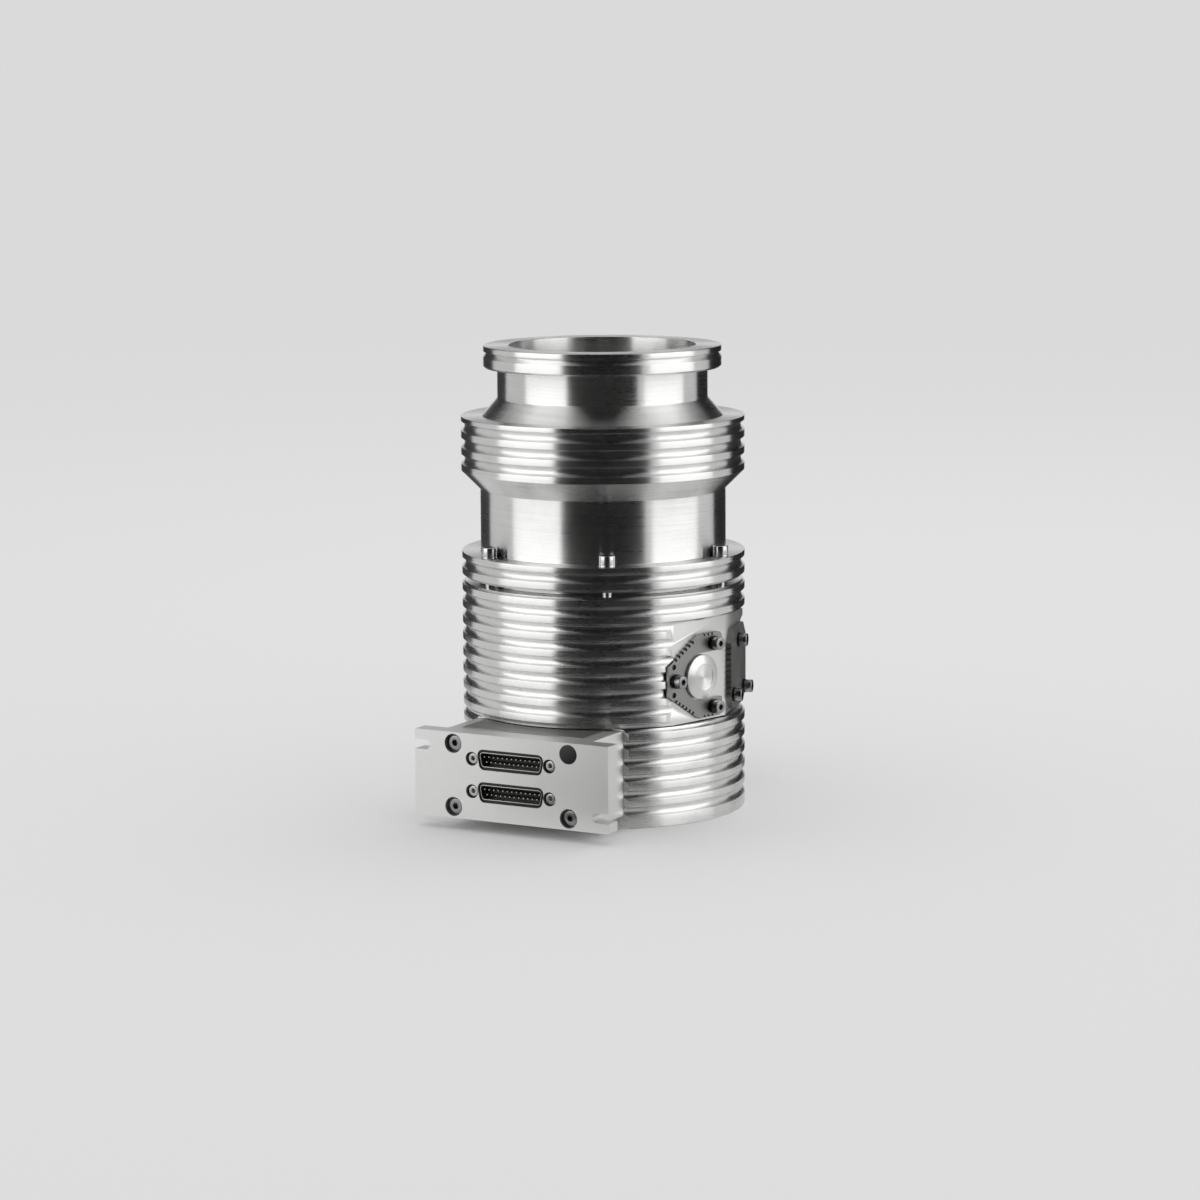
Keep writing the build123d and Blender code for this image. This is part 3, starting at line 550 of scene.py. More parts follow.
# ---- shared sizes of the pump ----
@dataclass(frozen=True)
class Ribs:
    """Round grooves turned into the outside wall, which leave the ribs.

    Args:
        crest: radius over the ribs.
        depth: depth of a groove.
        mouth: width of a groove at the crest.
        edge: round edge where a groove meets the crest.
        arc_points: points along half a groove.
    """

    crest: float = 77.5
    depth: float = 2.0
    mouth: float = 5.3
    edge: float = 0.3
    arc_points: int = 5

    def groove(self, centre: float, low: float, high: float) -> list[Corner]:
        """Points up the part of one groove's round wall that lies between two heights."""
        half = self.mouth / 2
        arc = (half**2 + self.depth**2) / (2 * self.depth)
        swing = math.asin(half / arc)
        points = []
        for n in range(-self.arc_points, self.arc_points + 1):
            rise = arc * math.sin(swing * n / self.arc_points)
            if low <= centre + rise <= high:
                radius = self.crest - self.depth + arc - math.sqrt(arc**2 - rise**2)
                points.append((radius, centre + rise, self.edge if abs(n) == self.arc_points else 0.0))
        return points

    def wall(self, low: float, high: float, centres: Sequence[float]) -> list[Corner]:
        """Ribbed wall from one height up to another, where a groove may be cut off at either end."""
        ends = [[] if any(abs(end - centre) < self.mouth / 2 for centre in centres)
                else [(self.crest, end, self.edge)] for end in (low, high)]
        return ends[0] + [point for centre in centres for point in self.groove(centre, low, high)] + ends[1]


RIBS = Ribs()
GROOVES = [9.3 + 9.0 * n for n in range(15)]  # heights of the grooves up to the waist
SIXTHS = [math.tau * n / 6 for n in range(6)]
FIT = 0.05  # clearance of a located piece
PORT_SEAT = 71.91  # flat that carries the fore-vacuum port
PORT_HEIGHT = 28.0
BOX_SEAT = 61.0  # flat that carries the connector box


@dataclass(frozen=True)
class Thread:
    """Radius of a cap screw's shank and head, and the height of its head."""

    shank: float
    head: float
    head_height: float


M5 = Thread(2.5, 4.25, 5.0)
M5_SMALL_HEAD = Thread(2.5, 4.0, 4.6)
M4 = Thread(2.0, 3.5, 4.0)


@dataclass(frozen=True)
class CapScrew:
    """Socket head cap screw that points down its own -Z, with the seat of its head at the origin.

    Args:
        thread: its sizes.
        length: from the seat to the tip.
        washers: thickness of each washer under the head, from the head down.
        finish: finish of the screw itself.
    """

    thread: Thread
    length: float
    washers: tuple[float, ...] = ()
    finish: Finish = SCREW_STEEL
    washer_radius: float = 3.9
    washer_clear: float = 0.2  # round the shank
    washer_seam: float = 0.02  # half the seam between two washers
    tip: float = 0.3
    head_round: float = 0.12  # share of the head's radius
    key: float = 0.5  # the hexagon's radius, as a share of the head's
    key_floor: float = 0.45  # share of the head's height
    key_mouth: float = 1.08  # countersink round the hexagon, as a share of its radius
    key_slope: float = 0.2  # depth of that countersink's cone, as such a share
    facets: int = 48

    def build(self, name: str) -> Piece:
        """Builds one screw with its washers."""
        shank, head, top = self.thread.shank, self.thread.head, self.thread.head_height
        screw = lathe(name, [(0, -self.length, 0), (shank - self.tip, -self.length, 0),
                             (shank, -self.length + self.tip, 0), (shank, 0, 0), (head, 0, 0.1),
                             (head, top, head * self.head_round), (0, top, 0)], self.facets)
        key, over = head * self.key, top + 0.1
        socket = prism("socket", round_outline(key, 6), top, moved(z=top * self.key_floor))
        mouth = lathe("socket_mouth", [(0, top - key * self.key_slope, 0), (key * self.key_mouth, over, 0),
                                       (0, over, 0)], self.facets)
        pieces = [coated(smooth(cut(screw, [socket, mouth])), self.finish)]
        rise, bore = 0.0, shank + self.washer_clear
        for thick in self.washers:
            rise -= thick
            low, high = rise + self.washer_seam, rise + thick - self.washer_seam
            ring = lathe("washer", [(bore, low, 0.1), (self.washer_radius, low, 0.2),
                                    (self.washer_radius, high, 0.2), (bore, high, 0.1)], self.facets)
            pieces.append(coated(ring, BLACK_OXIDE))
        return joined(name, pieces)


# ---- sub-assemblies ----
@dataclass
class InletHousing:
    """Upper housing: clamp flange, neck, ribbed collar, smooth waist and bolted waist flange."""

    bore: float = 51.0
    throat: float = 53.0
    flange: float = 65.0
    flange_thick: float = 12.0
    flange_chamfer: float = 1.0
    lip: float = 3.0
    rim_groove: float = 1.6
    neck: float = 57.5
    neck_length: float = 16.4
    shoulder: float = 66.0
    shoulder_rise: float = 9.8
    collar_height: float = 29.5
    collar_grooves: tuple[float, ...] = (6.3, 15.3, 24.3)
    waist: float = 67.2
    waist_flange: float = 13.8
    slit: float = 2.0
    slit_floor: float = 68.0
    pack_bore: float = 62.0
    pack_drop: float = 2.0
    screw_circle: float = 71.75
    screw_length: float = 28.0
    washer_bore: float = 2.6
    washer_rim: float = 4.35
    washer_thick: float = 1.0
    facets: int = 240

    def outline(self) -> list[Corner]:
        """Closed outline from the inlet's edge, down the outside and back up the bore."""
        top, foot = height_of("inlet_housing", True), height_of("inlet_housing", False)
        flange_foot = top - self.flange_thick
        collar_top = flange_foot - self.neck_length - self.shoulder_rise
        collar_foot = collar_top - self.collar_height
        waist_foot = foot + self.slit
        waist_top = waist_foot + self.waist_flange
        pack_top = collar_top - self.pack_drop
        rim, groove, chamfer = self.flange, self.rim_groove, self.flange_chamfer
        outer = [(self.bore, top, 0.4), (rim, top, 0.7), (rim, top - self.lip, 0.3),
                 (rim - groove, top - self.lip - groove / 2, 0.3), (rim, top - self.lip - 2 * groove, 0.3),
                 (rim, flange_foot + chamfer, 0.2), (rim - chamfer, flange_foot, 0.2),
                 (self.neck, flange_foot, 0.8), (self.neck, flange_foot - self.neck_length, 1.2),
                 (self.shoulder, collar_top, 0.3)]
        collar = RIBS.wall(collar_foot, collar_top, [collar_foot + rise for rise in self.collar_grooves])
        body = [(self.waist, collar_foot - (RIBS.crest - self.waist), 0.8), (self.waist, waist_top, 0.6)]
        waist = RIBS.wall(waist_foot, waist_top, GROOVES)
        inner = [(self.slit_floor, waist_foot, 0.2), (self.slit_floor, foot, 0), (self.pack_bore, foot, 0.3),
                 (self.pack_bore, pack_top, 0.3), (self.throat, pack_top, 0.3),
                 (self.throat, flange_foot, 0.3), (self.bore, flange_foot, 0.3)]
        return outer + collar[::-1] + body + waist[::-1] + inner

    def build(self) -> None:
        """Builds the housing with its screws and washers."""
        housing = lathe("inlet_housing_turned", self.outline(), self.facets)
        dress(housing, TURNED_STEEL, "inlet_housing")
        seat = height_of("waist_washers", True)
        places = [upright(self.screw_circle, 30 + 60 * n, seat) for n in range(6)]
        screw = CapScrew(M5, self.screw_length).build("waist_screw")
        fasten(screw, places, "waist_cap_screws", "waist_screws")
        inner, rim, thick = self.washer_bore, self.washer_rim, self.washer_thick
        washer = lathe("waist_washer", [(inner, -thick, 0.1), (rim, -thick, 0.2), (rim, 0, 0.25),
                                        (inner, 0, 0.1)], 64)
        fasten(washer, places, "waist_plain_washers", "waist_washers")


@dataclass
class LowerHousing:
    """Lower housing: ribbed wall with two milled flats for the side covers."""

    pack_bore: float = 62.0
    exhaust_bore: float = 55.0
    seat: float = 80.0
    flat_distance: float = 72.2
    flat_angles: tuple[float, float] = (75.0, 105.0)
    flat_top: float = 109.6
    cutter_width: float = 160.0
    cutter_depth: float = 30.0
    overrun: float = 10.0  # of the cutter under the housing
    flat_error: float = 0.01  # a face this near to a flat, facing within flat_cosine, lies on it
    flat_cosine: float = 0.999
    sweep_height: float = 80.0  # middle of the milled arcs
    facets: int = 240

    def build(self) -> None:
        """Builds the housing and mills its flats."""
        low, high = height_of("lower_housing", False), height_of("lower_housing", True)
        housing = lathe("lower_housing_turned", RIBS.wall(low, high, GROOVES) + [
            (self.pack_bore, high, 0.3), (self.pack_bore, self.seat, 0), (self.exhaust_bore, self.seat, 0),
            (self.exhaust_bore, low, 0.3)], self.facets)
        foot = low - self.overrun
        shape = box_outline(self.cutter_width, self.flat_top - foot, (self.flat_top + foot) / 2)
        cut(housing, [prism("flat", shape, self.cutter_depth, side_frame(angle, self.flat_distance))
                      for angle in self.flat_angles])
        dress(smooth(housing), TURNED_ALUMINIUM, "lower_housing")
        self.mill(housing)

    def mill(self, housing: Piece) -> None:
        """Gives the flats their own milled finish: two crossing sweeps of fine arcs on a pale face."""
        for number, angle in enumerate(self.flat_angles):
            frame = side_frame(angle, self.flat_distance)
            normal = frame.to_3x3() @ Vector((0, 0, 1))
            middle = (frame @ moved(y=self.sweep_height)).translation
            finish = Finish(f"milled_aluminium_{number}", "#D8D8D7", Grain.MILLED, roughness=0.36,
                            mark_mm=1.1, mark_depth=0.2, centre=tuple(middle), axis=tuple(normal))
            housing.data.materials.append(finish.make())
            for face in housing.data.polygons:
                distance = face.center.dot(normal) / MM
                faces_out = face.normal.dot(normal) > self.flat_cosine
                if faces_out and abs(distance - self.flat_distance) < self.flat_error:
                    face.material_index = number + 1


@dataclass
class Base:
    """Ribbed base with a flat for the connector box, one for the fore-vacuum port and a bottom cover."""

    exhaust_bore: float = 55.0
    floor: float = 12.0
    core: float = 40.0
    well: float = 30.0
    cover: float = 44.0
    cover_thick: float = 6.0
    cutter: tuple[float, float, float] = (170.0, 80.0, 40.0)  # width, height and depth
    cutter_middle: float = 20.0
    port_tube: float = 14.0
    port_drill: float = 8.0  # the port's drill starts this far inside the exhaust bore
    port_drill_length: float = 40.0
    screw_circle: float = 37.0
    screw_well: float = 3.8
    screw_length: float = 2.0
    facets: int = 240

    def build(self) -> None:
        """Builds the base, its bottom cover and that cover's screws."""
        top, rim, thick = height_of("base", True), self.cover - FIT, self.cover_thick
        base = lathe("base_turned", RIBS.wall(0.0, top, GROOVES) + [
            (self.exhaust_bore, top, 0), (self.exhaust_bore, self.floor, 0), (self.core, self.floor, 0),
            (self.core, top, 0), (self.well, top, 0), (self.well, thick, 0), (self.cover, thick, 0),
            (self.cover, 0.0, 0.3)], self.facets)
        width, height, depth = self.cutter
        pad = box_outline(width, height, self.cutter_middle)
        tools = [prism("pad", pad, depth, frame)
                 for frame in (side_frame(0, BOX_SEAT), side_frame(180, PORT_SEAT))]
        tools.append(prism("port_bore", round_outline(self.port_tube + FIT), self.port_drill_length,
                           side_frame(180, self.exhaust_bore - self.port_drill, 0, PORT_HEIGHT)))
        dress(smooth(cut(base, tools)), TURNED_ALUMINIUM, "base")
        plate = lathe("bottom_plate", [(0, 0, 0), (rim, 0, 0.3), (rim, thick, 0.2), (0, thick, 0)])
        head = M4.head_height
        cut(plate, [prism("hole", round_outline(self.screw_well), head + 1,
                          turned(turn) @ moved(self.screw_circle, 0, -1)) for turn in SIXTHS])
        dress(smooth(plate), TURNED_ALUMINIUM, "bottom_cover")
        places = [turned(turn) @ moved(self.screw_circle, 0, head) @ Matrix.Rotation(math.pi, 4, "X")
                  for turn in SIXTHS]
        screw = CapScrew(M4, self.screw_length).build("cover_screw")
        fasten(screw, places, "bottom_cap_screws", "cover_screws")


@dataclass
class ForePort:
    """Fore-vacuum port: small flange on a tube, with a mounting collar and its screws."""

    bore: float = 12.0
    tube: float = 14.0
    flange: float = 20.0
    flange_angle: float = 15.0
    rim: float = 3.0
    recess: float = 1.0
    recess_depth: float = 3.0
    recess_floor: float = 0.2
    collar: float = 23.0
    collar_thick: float = 5.0
    end: float = 112.0
    foot: float = 55.0
    screw_length: float = 5.0

    def build(self) -> None:
        """Builds the port and the screws of its collar."""
        cone = (self.flange - self.tube) * math.tan(math.radians(self.flange_angle))
        reach, foot = self.end - PORT_SEAT, self.foot - PORT_SEAT
        floor = reach - self.recess_depth
        corners = [
            (self.bore, foot, 0.2), (self.tube, foot, 0.2), (self.tube, 0, 0), (self.collar, 0, 0.2),
            (self.collar, self.collar_thick, 0.6), (self.tube, self.collar_thick, 0.8),
            (self.tube, reach - self.rim - cone, 0.6), (self.flange, reach - self.rim, 0.3),
            (self.flange, reach, 0.4), (self.bore + self.recess, reach, 0.2),
            (self.bore + self.recess, floor, 0.2), (self.bore, floor - self.recess_floor, 0.2)]
        frame = side_frame(180, PORT_SEAT, 0, PORT_HEIGHT)
        finish = Finish("turned_port_steel", "#D9D9D8", Grain.TURNED, roughness=0.27, stretch=0.9,
                        mark_mm=0.7, mark_depth=0.2, centre=tuple(frame.translation), axis=(0.0, 1.0, 0.0))
        dress(lathe("fore_port_turned", corners, 120, frame), finish, "fore_port")
        circle = (self.tube + self.collar) / 2
        places = [frame @ moved(circle * math.cos(turn), circle * math.sin(turn), self.collar_thick)
                  for turn in (math.radians(45 + 90 * n) for n in range(4))]
        screw = CapScrew(M4, self.screw_length).build("port_screw")
        fasten(screw, places, "port_cap_screws", "port_screws")


def notched(start: Point, end: Point, count: int, shift: float = 0.0, width: float = 1.3, depth: float = 1.4,
            pitch: float = 3.1) -> list[Point]:
    """Points along an edge with even square notches cut to its left.

    Args:
        start: start of the edge.
        end: end of the edge, with the plate on the left.
        count: number of notches.
        shift: moves the row along, as a share of the edge.
        width: width of a notch.
        depth: depth of a notch.
        pitch: distance between notches.

    Returns:
        The corners of the notches in order.
    """
    first, run = Vector(start), Vector(end) - Vector(start)
    ahead = run.normalized()
    inward = Vector((-ahead.y, ahead.x))
    points = []
    for n in range(count):
        spot = first + run * (0.5 + shift) + ahead * pitch * (n - (count - 1) / 2)
        for side, deep in ((-1, 0), (-1, 1), (1, 1), (1, 0)):
            corner = spot + ahead * side * width / 2 + inward * depth * deep
            points.append((corner.x, corner.y))
    return points


@dataclass
class SideCovers:
    """Serrated covers on the two milled flats: vent cap and cover, and service cover."""

    flat: float = 72.2
    height: float = 78.5
    vent_shift: float = -2.9
    reach: float = 25.0
    half: float = 22.9
    tail: float = 17.4
    tip: float = 8.4
    knee: float = -1.0
    corner: float = 3.0
    thick: float = 2.0
    edge: float = 0.2
    opening: float = 12.8
    hole_disc: float = 1.45
    hole_bore: float = 1.5
    hole_inset: float = 4.0
    hole_rise: float = 7.6
    hole_disc_height: float = 1.2
    cap: float = 12.0
    cap_rise: float = 4.6
    cap_slope: float = 1.1
    cap_face: float = 7.3
    cap_dish: float = 0.25
    spigot: float = 3.9
    spigot_length: float = 10.0
    screw_circle: float = 20.0
    vent_washers: tuple[float, ...] = (0.9, 0.9)
    service_shift: float = 2.0
    service_half_width: float = 20.0
    service_half_height: float = 22.0
    service_corner: float = 7.0
    service_thick: float = 3.0
    service_washer: float = 1.0
    service_screw: float = 14.0  # from the middle, up and sideways

    def vent_outline(self) -> list[Point]:
        """Outline of the vent cover, anticlockwise, open to the right around the cap."""
        low, high = (self.knee, -self.half), (self.knee, self.half)
        quarter = [math.pi / 2 * n / 5 for n in range(6)]
        corner = [(self.tail - self.corner * (1 - math.sin(t)), self.corner * (1 - math.cos(t)) - self.half)
                  for t in quarter]
        arc = [(-self.opening * math.sin(t), self.opening * -math.cos(t))
               for t in (math.pi * n / 24 for n in range(25))]
        return [(-self.reach, -self.tip), *notched((-self.reach, -self.tip), low, 6),
                low, *notched(low, (self.tail, -self.half), 3, -0.1), *corner,
                (self.tail, -self.opening), *arc, (self.tail, self.opening),
                *[(x, -y) for x, y in reversed(corner)], *notched((self.tail, self.half), high, 3, 0.1),
                high, *notched(high, (-self.reach, self.tip), 6), (-self.reach, self.tip)]

    def build(self) -> None:
        """Builds both covers with their screws, and the vent cap."""
        frame = side_frame(75, self.flat, self.vent_shift, self.height)
        cover = prism("vent_cover_sheet", self.vent_outline(), self.thick, frame)
        spots = [(self.hole_inset - self.reach, side * self.hole_rise) for side in (-1, 1)]
        cut(cover, [prism("hole", round_outline(self.hole_bore, 32), self.thick + 3, frame @ moved(x, y, -1))
                    for x, y in spots])
        # Black discs fill the two holes in the cover, which makes them dark.
        hole_disc = lathe("hole_disc", [(0, 0, 0), (self.hole_disc, 0, 0), (self.hole_disc, self.hole_disc_height, 0.2),
                                (0, self.hole_disc_height, 0)], 32)
        hole_discs = copied(hole_disc, [frame @ moved(x, y) for x, y in spots], "hole_discs")
        soften(cover, self.edge)
        cover = joined(cover.name, [coated(cover, ROLLED_STEEL), coated(hole_discs, BLACK_NYLON)])
        dress(cover, ROLLED_STEEL, "vent_cover")
        self.build_cap(frame)
        seat = self.thick + sum(self.vent_washers)
        places = [frame @ moved(self.screw_circle * math.cos(t), self.screw_circle * math.sin(t), seat)
                  for t in (math.radians(60 + 120 * n) for n in range(3))]
        # Painted shade: these screws take the steel that is painted darker.
        screw = CapScrew(M4, seat, self.vent_washers, SHADE_DARKENED_SCREW).build("vent_screw")
        fasten(screw, places, "vent_cap_screws", "vent_cover_screws")
        self.build_service_cover()

    def build_cap(self, frame: Matrix) -> None:
        """Builds the vent cap in the vent cover's frame: faced steel, whose rings fan its reflections."""
        top, dish = self.cap_rise, self.cap_rise - self.cap_dish
        cap = lathe("vent_cap_turned", [
            (0, -self.spigot_length, 0), (self.spigot, -self.spigot_length, 0.2), (self.spigot, 0, 0),
            (self.cap, 0, 0.2), (self.cap, top - self.cap_slope, 0.3), (self.cap_face, top, 0.1),
            (self.cap_face - 0.3, dish, 0.1), (0, dish, 0)], 120, frame)
        finish = Finish("faced_steel_cap", "#DADAD9", Grain.TURNED, roughness=0.3, stretch=0.95, mark_mm=0.5,
                        mark_depth=0.2, centre=tuple(frame.translation),
                        axis=tuple(frame.to_3x3() @ Vector((0, 0, 1))))
        dress(cap, finish, "vent_cap")

    def build_service_cover(self) -> None:
        """Builds the service cover on the second flat."""
        frame = side_frame(105, self.flat, self.service_shift, self.height)
        wide, high = self.service_half_width, self.service_half_height
        inner, lower = wide - self.service_corner, high - self.service_corner
        outline = [(inner, -high), (wide, -lower), (wide, lower), (inner, high), (-inner, high),
                   (-wide, lower), *notched((-wide, lower), (-wide, -lower), 9), (-wide, -lower),
                   (-inner, -high)]
        cover = prism("service_cover_sheet", outline, self.service_thick, frame)
        dress(soften(cover, self.edge), ROLLED_STEEL, "service_cover")
        seat, span = self.service_thick + self.service_washer, self.service_screw
        places = [frame @ moved(x, y, seat) for x, y in ((0, span), (span, -span), (-span, -span))]
        # Painted shade: these screws take the steel that is painted darker.
        screw = CapScrew(M4, seat, (self.service_washer,), SHADE_DARKENED_SCREW).build("service_screw")
        fasten(screw, places, "service_cap_screws", "service_cover_screws")


@dataclass
class ConnectorUnit:
    """Connector box with its slotted front plate, two 25-way connectors, screws and blind plug.

    Each inset of a connector is how far that outline stands inside the cut-out in the plate.
    """

    front: float = 104.6
    thick: float = 10.0
    middle: float = 29.9
    width: float = 117.6
    height: float = 46.6
    box_width: float = 89.0
    box_wall: float = 4.0
    screw_half_span: float = 35.0
    screw_half_rise: float = 17.15
    screw_length: float = 15.0
    screw_bore: float = 2.8
    screw_recess: float = 6.6
    counterbore: float = 5.2
    slot_width: float = 5.4
    slot_depth: float = 9.5
    slot_offset: float = 15.2
    plug_rise: float = 17.6
    plug_lift: float = 1.0
    plug_width: float = 41.3
    plug_height: float = 11.1
    plug_corner: float = 3.3
    plug_taper: float = 10.0  # degrees
    bezel_insets: tuple[float, float] = (0.15, 1.6)
    bezel_drop: float = 1.0
    shell_insets: tuple[float, float] = (1.55, 1.95)
    shell_drop: float = 0.4
    body_inset: float = 2.0
    body_drop: float = 6.4
    flange_inset: float = 1.0
    flange_thick: float = 3.0
    pitch: float = 2.77
    pin: float = 0.5
    pin_length: float = 5.0
    lock: float = 2.9
    lock_bore: float = 0.95
    lock_mouth: float = 1.3
    lock_length: float = 5.0
    lock_recess: float = 3.75
    lock_half_span: float = 23.52
    lock_drop: float = 1.2
    cap: float = 5.12
    cap_thick: float = 1.6

    def face(self, x: float = 0.0, y: float = 0.0, depth: float = 0.0) -> Matrix:
        """Frame on the plate's front, moved along it and back into it."""
        return side_frame(0, self.front - depth, x, self.middle + y)

    def plate_outline(self) -> list[Point]:
        """Outline of the front plate with an open slot at each end."""
        half, high, gap = self.width / 2, self.height / 2, self.slot_width / 2
        low, top = -self.slot_offset - gap, -self.slot_offset + gap
        floor, bend = half - self.slot_depth, gap - 0.01
        right = [(half, low, 0.3), (floor, low, bend), (floor, top, bend), (half, top, 0.3)]
        left = [(-x, -y, r) for x, y, r in right]
        return rounded([(-half, -high, 0.5), (half, -high, 0.5), *right, (half, high, 0.5),
                        (-half, high, 0.5), *left], 6)

    def plug_outline(self, inset: float = 0.0) -> list[Point]:
        """Outline of a 25-way connector, wider at its top."""
        high, wide = self.plug_height / 2 - inset, self.plug_width / 2 - inset
        narrow = wide - 2 * high * math.tan(math.radians(self.plug_taper))
        corner = self.plug_corner - inset * 0.9
        return rounded([(-narrow, -high, corner), (narrow, -high, corner), (wide, high, corner),
                        (-wide, high, corner)], 6)

    def grid(self, span: float, rise: float, lift: float = 0.0) -> list[Point]:
        """Four places at half a span and half a rise from the plate's middle."""
        return [(x * span, lift + y * rise) for x in (-1, 1) for y in (-1, 1)]

    def build(self) -> None:
        """Builds the box, the plate and everything on it."""
        corners = self.grid(self.screw_half_span, self.screw_half_rise)
        locks = self.grid(self.lock_half_span, self.plug_rise / 2, self.plug_lift)
        self.build_box()
        self.build_plate(corners, locks)
        for name, side in (("upper", 1), ("lower", -1)):
            self.build_plug(name, self.plug_lift + side * self.plug_rise / 2)
        bore, foot = self.lock_bore, -self.lock_length
        stud = lathe("stud", [(0, foot, 0), (self.lock, foot, 0), (self.lock, 0, 0.5),
                              (self.lock_mouth, 0, 0.1), (bore, -0.5, 0), (bore, foot + 1, 0),
                              (0, foot + 1, 0)], 48)
        places = [self.face(x, y, self.lock_drop) for x, y in locks]
        dress(copied(stud, places, "screw_locks"), NICKEL_PLATE, "lock_studs")
        # Painted shade: these screws take the steel that is painted darker, for the shade of their
        # counterbores.
        screw = CapScrew(M5_SMALL_HEAD, self.screw_length, finish=SHADE_DARKENED_SCREW).build("plate_screw")
        places = [self.face(x, y, self.screw_recess) for x, y in corners]
        fasten(screw, places, "plate_cap_screws", "plate_screws")
        rim, foot = self.cap, -self.cap_thick
        cap = lathe("blind_plug", [(0, foot, 0), (rim, foot, 0), (rim, 0, 0.35), (0, 0, 0)], 72,
                    self.face(self.screw_half_span, self.screw_half_rise))
        dress(cap, BLACK_NYLON, "plate_plug")

    def build_box(self) -> None:
        """Builds the box behind the plate and the bare plate on its top."""
        depth, wall = self.front - self.thick - BOX_SEAT, self.box_wall
        shell = prism("connector_box_milled", box_outline(self.box_width, self.height, radius=0.8), depth,
                      side_frame(0, BOX_SEAT, 0, self.middle))
        inside = prism("inside", box_outline(self.box_width - 2 * wall, self.height - 2 * wall, radius=2.0),
                       depth, side_frame(0, BOX_SEAT + wall, 0, self.middle))
        dress(soften(cut(shell, [inside]), 0.3), BLASTED_ALUMINIUM, "connector_box")
        low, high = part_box("label_plate")
        size, middle = (high - low) / MM, (low + high) / 2 / MM
        label = prism("name_plate_bare", box_outline(size.x, size.y, radius=1.5), size.z,
                      moved(middle.x, middle.y, low.z / MM))
        dress(soften(label, 0.1), LABEL_SHEET, "label_plate")

    def build_plate(self, corners: Sequence[Point], locks: Sequence[Point]) -> None:
        """Builds the front plate with its slots and cut-outs.

        Args:
            corners: places of the four plate screws.
            locks: places of the four screw locks.
        """
        plate = prism("connector_plate_milled", self.plate_outline(), self.thick, self.face(depth=self.thick))
        through = self.thick + 1
        tools = [prism("plug_cut", self.plug_outline(), self.thick + 2,
                       self.face(0, self.plug_lift + rise, through))
                 for rise in (self.plug_rise / 2, -self.plug_rise / 2)]
        for radius, count, length, depth, places in (
                (self.counterbore, 64, self.thick, self.screw_recess, corners),
                (self.screw_bore, 48, 2 * self.thick, through, corners),
                (self.lock_recess, 64, self.thick, self.lock_drop + self.lock_length, locks)):
            tools += [prism("bore", round_outline(radius, count), length, self.face(x, y, depth))
                      for x, y in places]
        dress(soften(cut(plate, tools), 0.45, 3, 50), BLASTED_ALUMINIUM, "connector_plate")

    def sleeve(self, name: str, insets: tuple[float, float], drop: float, rise: float) -> Piece:
        """Wall between two insets of a connector, from the plate's back to a drop under its front."""
        wall = prism(name, self.plug_outline(insets[0]), self.thick - drop, self.face(0, rise, self.thick))
        return cut(wall, [prism("mouth", self.plug_outline(insets[1]), self.thick + 2,
                                self.face(0, rise, self.thick + 1))])

    def build_plug(self, name: str, rise: float) -> None:
        """Builds one connector: metal shell, black insulator and two rows of pins.

        Args:
            name: upper or lower.
            rise: height of the connector's middle above the plate's.
        """
        shell = self.sleeve(f"{name}_shell", self.shell_insets, self.shell_drop, rise)
        dress(soften(shell, 0.1), NICKEL_PLATE, f"{name}_plug_shell")
        thick = self.flange_thick
        back = self.thick + thick
        behind = self.face(0, rise, back)
        body = prism(f"{name}_insulator", self.plug_outline(self.body_inset), back - self.body_drop, behind)
        bezel = self.sleeve("bezel", self.bezel_insets, self.bezel_drop, rise)
        flange = prism("flange", self.plug_outline(self.flange_inset), thick, behind)
        body = joined(f"{name}_insulator", [soften(part, 0.2) for part in (body, bezel, flange)])
        dress(body, BLACK_NYLON, f"{name}_plug_body")
        pin = lathe("pin", [(0, 0, 0), (self.pin, 0, 0), (self.pin, self.pin_length, 0.4),
                            (0, self.pin_length, 0)], 16, steps=3)
        places = [self.face((n - (count - 1) / 2) * self.pitch, rise + row * self.pitch / 2, self.body_drop)
                  for row, count in ((1, 13), (-1, 12)) for n in range(count)]
        dress(copied(pin, places, f"{name}_pins"), NICKEL_PLATE, f"{name}_plug_pins")


